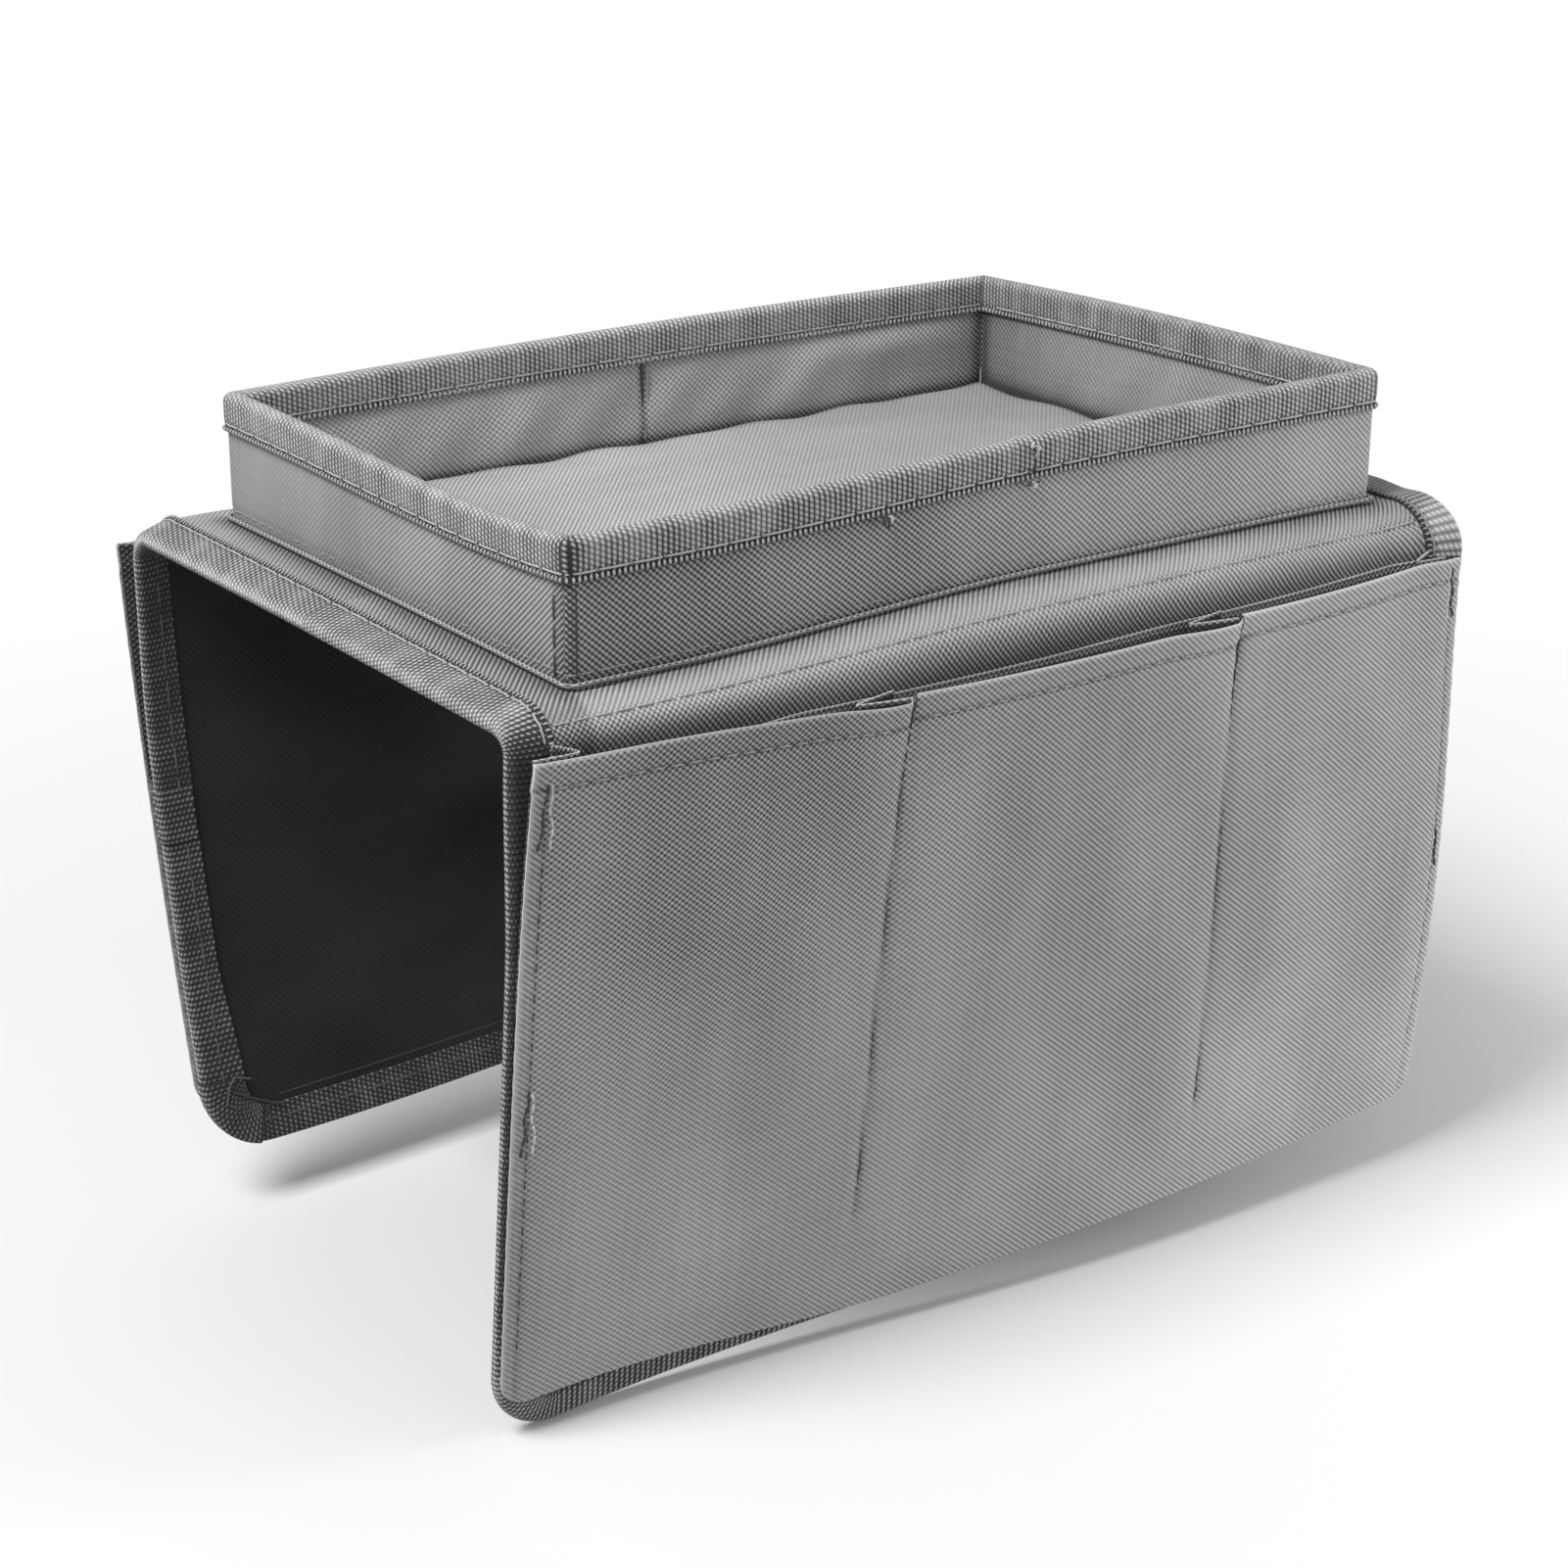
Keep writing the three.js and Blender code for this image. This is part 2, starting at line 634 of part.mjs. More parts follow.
// A wall cloth: a ring that stands from its foot to the wall's top and swells between its
// corners, below the tape. Its back face is offset towards the boards.
function wallCloth(foot, faceOffset, backOffset, crown) {
  return plyGeometry(ringStations.length, trayRiseSteps + 2, (station, row, face) => {
    const rise = Math.min(row / trayRiseSteps, 1);
    const z = row > trayRiseSteps ? wallTop : foot + (tapeFoot - plyGap - foot) * rise;
    const swell = crown * Math.sin(Math.PI * ringStations[station].along) * Math.sin(Math.PI * rise);
    const base = face === 1 ? faceOffset : backOffset;
    return trayPoint(station, base + (row > trayRiseSteps ? 0 : swell), z);
  }, true);
}
const floorClothFoot = wallFoot + floorBoardThickness + plyGap;
const innerFaceOffset = -wallThickness;
addPiece('tray_outer_cloth', wallCloth(wallFoot, 0, -clothThickness, outerWallCrown), 'cloth');
addPiece(
  'tray_inner_cloth',
  wallCloth(floorClothFoot, innerFaceOffset, innerFaceOffset + clothThickness, -innerWallCrown),
  'cloth',
);

// Stiff boards in the walls, which end where the rounded corners begin
const wallHeight = wallTop - wallFoot;
const boardInset = clothThickness + plyGap;
const longBoard = 2 * (trayHalf.x - Math.max(trayCornerRadius, boardInset));
const shortBoard = 2 * (trayHalf.y - Math.max(trayCornerRadius, boardInset + wallBoardThickness + plyGap));
for (const [name, side] of [['front', -1], ['back', 1]]) {
  const geometry = new THREE.BoxGeometry(longBoard, wallBoardThickness, wallHeight);
  const y = trayCentre.y + side * (trayHalf.y - boardInset - wallBoardThickness / 2);
  geometry.translate(trayCentre.x, y, (wallFoot + wallTop) / 2);
  addPiece(`tray_board_${name}`, geometry, 'board');
}
for (const [name, side] of [['left', -1], ['right', 1]]) {
  const geometry = new THREE.BoxGeometry(wallBoardThickness, shortBoard, wallHeight);
  const x = trayCentre.x + side * (trayHalf.x - boardInset - wallBoardThickness / 2);
  geometry.translate(x, trayCentre.y, (wallFoot + wallTop) / 2);
  addPiece(`tray_board_${name}`, geometry, 'board');
}

// Floor: a board between the wall boards, and the cloth over it, sewn to the walls' inner cloth
const floorBoardInset = boardInset + wallBoardThickness + plyGap;
for (const [name, inset, foot, thickness, finish] of [
  ['tray_floor_board', floorBoardInset, wallFoot, floorBoardThickness, 'board'],
  ['tray_floor_cloth', wallThickness + floorSeamGap, floorClothFoot, clothThickness, 'cloth'],
]) {
  const width = 2 * (trayHalf.x - inset);
  const depth = 2 * (trayHalf.y - inset);
  const geometry = new THREE.BoxGeometry(width, depth, thickness);
  geometry.translate(trayCentre.x, trayCentre.y, foot + thickness / 2);
  addPiece(name, geometry, finish);
}

// Rim binding: the tape folded over the top of the walls
const rimMiddle = -wallThickness / 2;
const rimHalf = wallThickness / 2 + plyGap + tapeThickness;
const rimSection = () => foldedTapeSection(rimMiddle - rimHalf, rimMiddle + rimHalf);
const rimBinding = stripGeometry(ringStations.length, rimSection, (station, section) => (
  trayPoint(station, section.y, trayTop - section.x)
), true);
addPiece('tray_rim_binding', rimBinding, 'tape');

// Seam bead: the folded seam that sews the foot of the walls to the top cover
function beadSection() {
  const points = [];
  for (let side = 0; side < beadSides; side += 1) {
    const angle = (2 * Math.PI * side) / beadSides;
    points.push(new THREE.Vector2(
      plyGap + seamBeadRadius + seamBeadRadius * Math.cos(angle),
      wallFoot + seamBeadRadius + seamBeadRadius * Math.sin(angle),
    ));
  }
  return points;
}
const seamBead = stripGeometry(ringStations.length, beadSection, (station, section) => (
  trayPoint(station, section.x, section.y)
), true);
addPiece('tray_seam_bead', seamBead, 'cloth');

export default saddle;
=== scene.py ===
import math

import bpy
import numpy as np
from mathutils import Matrix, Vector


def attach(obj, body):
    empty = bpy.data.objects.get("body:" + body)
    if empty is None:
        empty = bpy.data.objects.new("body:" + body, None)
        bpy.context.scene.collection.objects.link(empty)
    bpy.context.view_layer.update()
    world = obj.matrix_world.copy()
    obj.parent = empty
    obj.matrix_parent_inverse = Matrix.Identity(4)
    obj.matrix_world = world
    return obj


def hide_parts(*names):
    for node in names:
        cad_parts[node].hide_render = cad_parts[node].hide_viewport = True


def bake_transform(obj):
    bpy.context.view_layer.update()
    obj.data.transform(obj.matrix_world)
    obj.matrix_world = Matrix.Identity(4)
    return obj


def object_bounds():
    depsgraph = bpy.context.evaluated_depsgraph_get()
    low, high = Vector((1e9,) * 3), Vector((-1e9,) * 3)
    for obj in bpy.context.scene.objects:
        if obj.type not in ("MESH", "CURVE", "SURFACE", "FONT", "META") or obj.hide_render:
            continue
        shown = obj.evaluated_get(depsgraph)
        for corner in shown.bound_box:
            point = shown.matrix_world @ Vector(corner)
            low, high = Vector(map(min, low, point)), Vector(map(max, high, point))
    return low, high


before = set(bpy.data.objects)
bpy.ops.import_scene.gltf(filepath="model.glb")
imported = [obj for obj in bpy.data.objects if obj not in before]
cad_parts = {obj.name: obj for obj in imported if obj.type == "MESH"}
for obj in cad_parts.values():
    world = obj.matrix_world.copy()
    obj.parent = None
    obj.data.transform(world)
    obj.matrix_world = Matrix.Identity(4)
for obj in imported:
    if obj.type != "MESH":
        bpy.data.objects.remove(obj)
cad_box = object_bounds()

# Studio: a pale floor under the saddle, a bright surround that reads as white behind it, and two
# soft panels. The camera stands off the front left corner and looks a little down.
camera_place = (-0.5673, -0.7731, 0.2771)
camera_turn = math.radians(36.18)
camera_dip = math.radians(20.51)
camera_roll = math.radians(0.32)
photo_width = 1601
focal_pixels = 3487.2

camera = bpy.data.objects.new("camera", bpy.data.cameras.new("camera"))
camera.data.sensor_width = 36
camera.data.lens = camera.data.sensor_width * focal_pixels / photo_width
toward = np.array((
    math.sin(camera_turn) * math.cos(camera_dip),
    math.cos(camera_turn) * math.cos(camera_dip),
    -math.sin(camera_dip),
))
level_right = np.array((math.cos(camera_turn), -math.sin(camera_turn), 0))
level_up = np.cross(level_right, toward)
right = math.cos(camera_roll) * level_right + math.sin(camera_roll) * level_up
up = math.cos(camera_roll) * level_up - math.sin(camera_roll) * level_right
camera.matrix_world = Matrix.Translation(camera_place) @ Matrix((right, up, -toward)).transposed().to_4x4()
bpy.context.scene.collection.objects.link(camera)
bpy.context.scene.camera = camera
bpy.context.scene.view_settings.view_transform = "Standard"


def wired(tree, operation, *values):
    """A math node's output; each value is a number or another node's output."""
    node = tree.nodes.new("ShaderNodeMath")
    node.operation = operation
    for socket, value in zip(node.inputs, values):
        if isinstance(value, bpy.types.NodeSocket):
            tree.links.new(value, socket)
        else:
            socket.default_value = value
    return node.outputs[0]


def new_material(name):
    """A material with nodes, and its node tree."""
    material = bpy.data.materials.new(name)
    material.use_nodes = True
    return material, material.node_tree


def mixed_colour(tree, factor, dark, light):
    """A colour between dark and light, by another node's output."""
    mix = tree.nodes.new("ShaderNodeMix")
    mix.data_type = "RGBA"
    tree.links.new(factor, mix.inputs["Factor"])
    mix.inputs["A"].default_value = (*dark, 1)
    mix.inputs["B"].default_value = (*light, 1)
    return mix.outputs["Result"]


def into_shader(tree, output, socket):
    """Lead a node's output to a socket of the material's shader."""
    tree.links.new(output, tree.nodes["Principled BSDF"].inputs[socket])


surround_light = 0.36
world = bpy.data.worlds.new("studio")
bpy.context.scene.world = world
world.use_nodes = True
sky = world.node_tree
surround = sky.nodes["Background"]
surround.inputs["Color"].default_value = (1, 1, 1, 1)
rays = sky.nodes.new("ShaderNodeLightPath").outputs
seen = wired(sky, "MAXIMUM", rays["Is Camera Ray"], rays["Is Glossy Ray"])
seen = wired(sky, "MAXIMUM", seen, rays["Is Transmission Ray"])
strength = wired(sky, "MULTIPLY_ADD", seen, 1 - surround_light, surround_light)
sky.links.new(strength, surround.inputs["Strength"])


def soft_panel(name, place, aim, size, watts):
    """A square area lamp at a place, turned to face the aim."""
    lamp = bpy.data.lights.new(name, "AREA")
    lamp.energy = watts
    lamp.size = size
    panel = bpy.data.objects.new(name, lamp)
    panel.location = place
    away = Matrix.Translation(place).translation - Matrix.Translation(aim).translation
    panel.rotation_euler = away.to_track_quat("Z", "Y").to_euler()
    bpy.context.scene.collection.objects.link(panel)


soft_panel("high_panel", (-1.35, -0.15, 1.8), (0, 0, 0), 1.0, 47)
soft_panel("front_panel", (0.62, -0.42, -0.04), (0.1, -0.1, -0.1), 0.3, 2.5)

floor_size = 6
floor_drop = 0.001
floor_level = cad_box[0].z - floor_drop
floor_square = ((-1, -1), (1, -1), (1, 1), (-1, 1))
floor_corners = [(x * floor_size, y * floor_size, floor_level) for x, y in floor_square]
floor_mesh = bpy.data.meshes.new("floor")
floor_mesh.from_pydata(floor_corners, [], [(0, 1, 2, 3)])
floor = bpy.data.objects.new("floor", floor_mesh)
bpy.context.scene.collection.objects.link(floor)
pale_floor, paint = new_material("pale_floor")
floor_shader = paint.nodes["Principled BSDF"]
camera_ray = paint.nodes.new("ShaderNodeLightPath").outputs["Is Camera Ray"]
floor_colour = mixed_colour(paint, camera_ray, (0.45, 0.45, 0.45), (0.9, 0.9, 0.9))
into_shader(paint, floor_colour, "Base Color")
floor_shader.inputs["Roughness"].default_value = 0.9
fade_start, fade_end = 0.3, 0.7
reach = paint.nodes.new("ShaderNodeVectorMath")
reach.operation = "LENGTH"
paint.links.new(paint.nodes.new("ShaderNodeTexCoord").outputs["Object"], reach.inputs[0])
fade = paint.nodes.new("ShaderNodeMapRange")
fade.interpolation_type = "SMOOTHSTEP"
fade.inputs["From Min"].default_value = fade_start
fade.inputs["From Max"].default_value = fade_end
paint.links.new(reach.outputs["Value"], fade.inputs["Value"])
whitened = paint.nodes.new("ShaderNodeMixShader")
paint.links.new(wired(paint, "MULTIPLY", camera_ray, fade.outputs["Result"]), whitened.inputs["Fac"])
paint.links.new(floor_shader.outputs[0], whitened.inputs[1])
paint.links.new(paint.nodes.new("ShaderNodeEmission").outputs[0], whitened.inputs[2])
paint.links.new(whitened.outputs[0], paint.nodes["Material Output"].inputs["Surface"])
floor_mesh.materials.append(pale_floor)


# Lining: dark plain-woven cloth on the side that lies on the arm. Each half is one sheet, from the
# middle of the top over the fold and down its flap. Its edges end inside the binding.
mm = 0.001
saddle_length = 321.0
half_length = saddle_length / 2
arm_half = 206.8 / 2
fold_radius = 9.0
fold_y = arm_half - fold_radius
fold_run = math.pi / 2 * (fold_radius + 2.75)
middle_run = -fold_run - fold_y
cloth_thickness = 0.5
lining_lift = (0.0, 0.5)
tape_width = 11.0
flap_corner = 20.0
raw_edge_setback = 1.2
left_droop, right_lift, curl_fade = -3.4, 1.5, 60.0
tray_front, tray_back = -94.4, 85.0
tray_left, tray_right = -137.3, 140.5
front_flap = {
    "name": "front", "side": -1, "length": 200.0, "rise": 22.0, "left_lean": 19.6, "right_lean": 0.5,
    "power": 1.1, "bow": 6.0, "right_lap": 9.0, "flare": 6.5, "edge_depth": 1.8,
    "dividers": ((116.0, 9.0), (231.5, 4.4)),
}
back_flap = {
    "name": "back", "side": 1, "length": 180.0, "rise": 0.0, "left_lean": 31.0, "right_lean": 14.0,
    "power": 1.5, "bow": 0.0, "right_lap": 1.5, "flare": 0.0, "edge_depth": 4.2,
    "dividers": ((160.0, 0.0),),
}
flaps = (front_flap, back_flap)


def smooth(low, high, value):
    """Cubic step t*t*(3 - 2t) of a value's place between low and high."""
    t = np.clip((value - low) / (high - low), 0, 1)
    return t * t * (3 - 2 * t)


def swell(value, centre, width):
    """Bell curve exp(-((value - centre) / width)^2)."""
    return np.exp(-(((value - centre) / width) ** 2))


def flare(flap, x, run):
    """The front half's right end stands out from the arm where the fold ends, over the tape and as much
    of the cover beside it, and lies a little lower just above."""
    reach = np.clip(1 - (half_length - x) / (2 * tape_width), 0, None)
    return flap["flare"] * reach * (swell(run, -1, 9) - 0.17 * swell(run, -21, 8))


def curl(x, drop):
    """The bound ends curl over the tape's width, the left down and the right up. The curl fades down the
    flap."""
    reach = np.clip(1 - (half_length - np.abs(x)) / tape_width, 0, None)
    return np.where(x < 0, left_droop, right_lift) * reach * (1 - smooth(0, curl_fade, drop))


def lean(flap, x, drop):
    """How far a flap hangs in under the tray: its bottom lean, which changes from left to right, by the
    drop's share of the length to a power, less a bow outwards at the right, a half sine down the flap."""
    from_left = x + half_length
    bottom = flap["left_lean"] + (flap["right_lean"] - flap["left_lean"]) * smooth(20, 240, from_left)
    down = np.clip(drop / flap["length"], 0, 1)
    bow = flap["bow"] * smooth(200, saddle_length, from_left) * np.sin(np.pi * down)
    return bottom * down ** flap["power"] - bow


def rise(flap, x, drop):
    """A flap's lower parts are higher towards the right, in proportion to drop and to x."""
    return flap["rise"] * drop / flap["length"] * (x + half_length) / saddle_length


def arch(x, y):
    """The empty top isn't flat: along the front it dips at the left and rises to the right."""
    towards_front = np.clip((tray_back - y) / (tray_back - tray_front), 0, 1)
    along_front = -1.6 + 4.0 * smooth(-110, 10, x) - 1.0 * smooth(110, half_length, x)
    return along_front * towards_front ** 2


def points_of(*coordinates):
    """One array of points, or of places on the flat cloth, from an array for each coordinate."""
    return np.stack(np.broadcast_arrays(*coordinates), -1)


def saddle_place(flap, x, run, lift):
    """A point of the saddle. run is measured over it from the fold's lower end: down the flap it is
    positive, and up the quarter-round fold and across the top negative. lift is outwards from the
    lining's inner face."""
    drop = np.maximum(run, 0)
    turn = np.clip(1 + run / fold_run, 0, 1) * np.pi / 2
    inset = np.maximum(-run - fold_run, 0)
    radius = fold_radius + lift + curl(x, drop) + flare(flap, x, run)
    y = fold_y - inset + radius * np.sin(turn) - lean(flap, x, drop)
    z = -fold_radius + radius * np.cos(turn) - drop + rise(flap, x, drop)
    z = z + arch(x, flap["side"] * (fold_y - inset)) * np.cos(turn)
    return points_of(x, flap["side"] * y, z)


def woven_object(name, inner, outer, flat_map, ring=False, **fields):
    """A closed sheet from an inner and an outer grid of points, in mm. Quads join each row to the next,
    down the outer grid and back up the inner one. A ring closes on itself along its columns, and other
    sheets are closed at both ends. flat_map gives each point's place on the flat cloth, in mm, as its
    UV map, with one column more for a ring. The fields are read by the materials at each point: tone,
    from -1 to 1, makes the cloth darker or lighter and carries painted shade and painted highlights,
    calm flattens its weave and slant, from -1 to 1, lets one diagonal of the weave stand out."""
    rows, columns = outer.shape[:2]
    row = np.append(np.arange(rows), np.arange(rows)[::-1])
    first_point = np.repeat((rows * columns, 0), rows) + row * columns
    at, column = np.indices((2 * rows, columns if ring else columns - 1)).reshape(2, -1, 1)
    at = (at + (0, 0, 1, 1)) % (2 * rows)
    column = column + (0, 1, 1, 0)
    if not ring:
        down = np.arange(rows - 1)[:, None]
        end = np.concatenate([down, down + 1, 2 * rows - 2 - down, 2 * rows - 1 - down], axis=1)
        at = np.concatenate([at, end, end[:, ::-1]])
        column = np.concatenate([column, 0 * end, 0 * end + columns - 1])
    corners = first_point[at] + column % columns
    points = np.concatenate([inner.reshape(-1, 3), outer.reshape(-1, 3)]) * mm
    piece = mesh_object(name, points, corners, flat_map[row[at], column] * mm)
    for field, value in fields.items():
        values = np.tile(np.broadcast_to(value, outer.shape[:2]).ravel(), 2).astype(np.float32)
        piece.data.attributes.new(field, "FLOAT", "POINT").data.foreach_set("value", values)
    return piece


def mesh_object(name, points, corners, flat_map=None):
    """A mesh of quads with faces turned outwards by the sign of the volume they enclose."""
    a, b, c, d = (points[corners[:, k]] for k in range(4))
    volume = np.sum(a * np.cross(b, c)) + np.sum(a * np.cross(c, d))
    if volume < 0:
        corners = corners[:, ::-1]
        flat_map = None if flat_map is None else flat_map[:, ::-1]
    mesh = bpy.data.meshes.new(name)
    mesh.from_pydata(points.tolist(), [], corners.tolist())
    if flat_map is not None:
        mesh.uv_layers.new(name="cloth").data.foreach_set("uv", np.ascontiguousarray(flat_map).ravel())
    mesh.shade_smooth()
    mesh.set_sharp_from_angle(angle=math.radians(60))
    piece = bpy.data.objects.new(name, mesh)
    bpy.context.scene.collection.objects.link(piece)
    return piece


def flap_sheet(name, flap, lifts, setback, first_run, spacing=2.4, shape=None, crowding=1.0, **fields):
    """One ply of a saddle half from first_run down to the flap's bottom, set back from its outline, with
    its lower corners rounded: below them each row's points close in by 1 - cos of the corner's angle.
    A crowding above 1 draws the rows together at the upper edge. Shape is a function of the flap, x and
    run, and a field is one too or a number."""
    straight = half_length - flap_corner
    end = half_length - setback
    inner_xs = np.linspace(-straight, straight, int(2 * straight / spacing))
    outer_xs = np.linspace(straight, end, 10)[1:]
    xs = np.concatenate([-outer_xs[::-1], inner_xs, outer_xs])
    radius = flap_corner - setback
    top = flap["length"] - flap_corner
    first = first_run(xs) if callable(first_run) else np.full(xs.shape, first_run)
    straight_rows = int((top - first.min()) / spacing)
    angles = np.radians(np.linspace(0, 86, 12)[1:])
    share = np.linspace(0, 1, straight_rows)[:, None] ** crowding
    below = np.broadcast_to((top + radius * np.sin(angles))[:, None], (len(angles), len(xs)))
    runs = np.concatenate([first + (top - first) * share, below])
    beyond = np.clip(np.abs(xs) - straight, 0, None)
    narrowing = np.concatenate([np.ones(straight_rows), np.cos(angles)])[:, None]
    x = np.sign(xs) * (np.minimum(np.abs(xs), straight) + beyond * narrowing)
    extra = 0 if shape is None else shape(flap, x, runs)
    flat_map = points_of(runs - middle_run, x)
    faces = [saddle_place(flap, x, runs, lift + extra) for lift in lifts]
    read = {field: rule(flap, x, runs) if callable(rule) else rule for field, rule in fields.items()}
    return woven_object(name, *faces, flat_map, **read)


def stretched_noise(tree, coordinates, scale, detail=2.0):
    """Noise read through a Mapping node that stretches it by a scale for each direction."""
    mapping = tree.nodes.new("ShaderNodeMapping")
    mapping.inputs["Scale"].default_value = (*scale, 1)
    tree.links.new(coordinates, mapping.inputs["Vector"])
    noise = tree.nodes.new("ShaderNodeTexNoise")
    noise.inputs["Scale"].default_value = 1
    noise.inputs["Detail"].default_value = detail
    tree.links.new(mapping.outputs[0], noise.inputs["Vector"])
    return noise.outputs["Fac"]


def point_field(tree, name):
    """A piece's own field, or 0 where it has none."""
    own = tree.nodes.new("ShaderNodeAttribute")
    own.attribute_name = name
    return own.outputs["Fac"]


def shaded_base(tree, shade, dark, light):
    """Base colour between dark and light by a shade from 0 to 1, to which the piece's own tone, its painted
    shade and highlights, is added.
    """
    shade = wired(tree, "ADD", shade, point_field(tree, "tone"))
    into_shader(tree, mixed_colour(tree, shade, dark, light), "Base Color")


def raised(tree, height, bump):
    """Bump from a height, with its full depth in mm."""
    relief = tree.nodes.new("ShaderNodeBump")
    relief.inputs["Distance"].default_value = bump * mm
    relief.inputs["Strength"].default_value = 1
    tree.links.new(height, relief.inputs["Height"])
    into_shader(tree, relief.outputs[0], "Normal")


def cloth_material(name):
    """A matte material with a faint sheen, its node tree, and the piece's place on its flat cloth, whole
    and in parts."""
    material, tree = new_material(name)
    shader = tree.nodes["Principled BSDF"]
    shader.inputs["Specular IOR Level"].default_value = 0.25
    shader.inputs["Sheen Weight"].default_value = 0.1
    cloth = tree.nodes.new("ShaderNodeUVMap")
    cloth.uv_map = "cloth"
    parts = tree.nodes.new("ShaderNodeSeparateXYZ")
    tree.links.new(cloth.outputs["UV"], parts.inputs[0])
    return material, tree, cloth.outputs["UV"], parts.outputs


def woven_material(name, dark, light, pitches, bump, roughness=0.85, streaks=0.1, smudge=0.16):
    """Plain weave of two sets of threads at the given pitches: a light bead shows where a thread lies
    on top, height = 1/2 + cos U cos V / 2, with U and V turning by pi from thread to thread. A slant s
    makes of the product cos U cos V (1 - |s|/2) + sin U sin V s/2, and the calm field takes the weave's
    height away. Long thin noise makes single threads lighter or darker, and broad noise smudges the
    cloth."""
    material, tree, cloth, parts = cloth_material(name)
    wander = stretched_noise(tree, cloth, (70, 70))
    turns = []
    for axis, pitch in enumerate(pitches):
        turn = wired(tree, "MULTIPLY", parts[axis], math.pi / (pitch * mm))
        turns.append(wired(tree, "MULTIPLY_ADD", wander, 1.5, turn))
    beads = wired(tree, "MULTIPLY", *(wired(tree, "COSINE", turn) for turn in turns))
    between = wired(tree, "MULTIPLY", *(wired(tree, "SINE", turn) for turn in turns))
    slant = point_field(tree, "slant")
    kept = wired(tree, "MULTIPLY_ADD", wired(tree, "ABSOLUTE", slant), -0.5, 1.0)
    leaning = wired(tree, "MULTIPLY", wired(tree, "MULTIPLY", slant, 0.5), between)
    depth = wired(tree, "MULTIPLY_ADD", point_field(tree, "calm"), -0.5, 0.5)
    height = wired(tree, "MULTIPLY_ADD", wired(tree, "MULTIPLY_ADD", beads, kept, leaning), depth, 0.5)
    across = stretched_noise(tree, cloth, (700, 16))
    down = stretched_noise(tree, cloth, (16, 900))
    broad = stretched_noise(tree, cloth, (22, 11), 3)
    uneven = wired(tree, "MULTIPLY_ADD", wired(tree, "ADD", across, down), streaks, -streaks)
    smudged = wired(tree, "MULTIPLY_ADD", broad, 2 * smudge, -smudge)
    tone = wired(tree, "ADD", uneven, smudged)
    shaded_base(tree, wired(tree, "ADD", height, tone), dark, light)
    into_shader(tree, wired(tree, "MULTIPLY_ADD", tone, -0.3, roughness), "Roughness")
    raised(tree, height, bump)
    return material


def bend_over_fold(piece):
    """Bake the piece's transform into its mesh."""
    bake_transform(piece)


def dress(piece, material, slot, *nodes):
    """Give a piece its material, and hide the model's nodes that it stands for. slot is not used."""
    piece.data.materials.append(material)
    if nodes:
        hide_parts(*nodes)


lining_cloth = woven_material(
    "lining_cloth", (0.006, 0.006, 0.0062), (0.027, 0.027, 0.0274), (1.02, 1.04), 0.1, roughness=0.75,
    streaks=0.2, smudge=0.8,
)
for flap in flaps:
    name = flap["name"]
    lining = flap_sheet(name + "_lining", flap, lining_lift, raw_edge_setback, middle_run, 3.2, slant=0.8)
    bend_over_fold(lining)
    on_top = ["top_lining"] if flap is front_flap else []
    dress(lining, lining_cloth, "lining", name + "_fold_lining", name + "_flap_lining", *on_top)


# Stiffening: a grey board in the top, which the folds leave free, and a thin pad of foam in each
# flap. The board is bent as the top is; the pads are the model's own.
board_lift = (0.8, 2.2)
board_end = half_length - tape_width - 1.5


def flat_material(name, dark, light, grain, bump):
    """A matte board or pad: fine noise between two colours, read in the object's own coordinates."""
    material, tree = new_material(name)
    tree.nodes["Principled BSDF"].inputs["Roughness"].default_value = 0.95
    place = tree.nodes.new("ShaderNodeTexCoord").outputs["Object"]
    grains = stretched_noise(tree, place, (grain, grain), 4)
    shaded_base(tree, grains, dark, light)
    raised(tree, grains, bump)
    return material


grey_board = flat_material("grey_board", (0.3, 0.26, 0.2), (0.5, 0.43, 0.34), 600, 0.1)
foam = flat_material("foam", (0.5, 0.49, 0.46), (0.72, 0.71, 0.68), 900, 0.3)
board_side = fold_y - 0.3
board_columns = np.linspace(-board_end, board_end, 60)
board_x, board_y = np.meshgrid(board_columns, np.linspace(-board_side, board_side, 40))
board_faces = [points_of(board_x, board_y, lift + arch(board_x, board_y)) for lift in board_lift]
top_board = woven_object("top_board_bent", *board_faces, points_of(board_x, board_y))
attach(top_board, "saddle")
dress(top_board, grey_board, "board", "top_board")
for flap in flaps:
    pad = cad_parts[flap["name"] + "_flap_padding"]
    pad.data.materials.clear()
    pad.data.materials.append(foam)


# Cover: coarse grey cloth, plain woven from thick yarn, over the top, the folds and the flaps. It is
# cut in two halves as the lining is, and the tray hides where they meet. A row of stitches along the
# start of the front roll holds it to the lining.
cover_lift = (2.5, 3.0)
cloth_pitches = (1.03, 0.885)
roll_seam_run = -0.42 * fold_run
roll_stitch = (6.2, 5.2, 0.27)
grey_cloth = woven_material("grey_cloth", (0.055, 0.055, 0.056), (0.76, 0.76, 0.765), cloth_pitches, 0.42)


def cover_relief(flap, x, run):
    """Slack in the cover: faint ripples on the roll, across it, and a groove along its stitches."""
    roll = swell(run, -fold_run / 2, fold_run * 0.6)
    groove = -0.35 * swell(run, roll_seam_run, 1.1)
    return 0.12 * np.sin(x * 0.21 + 0.6 * np.sin(x * 0.06)) * roll + groove


def left_strip(flap, x, run):
    """The top's strip left of the tray: 1 on it and 0 elsewhere, and how near the front it is."""
    y = flap["side"] * (fold_y + fold_run + run)
    return 1 - smooth(tray_left - 2, tray_left + 2, x), smooth(85, -70, y)


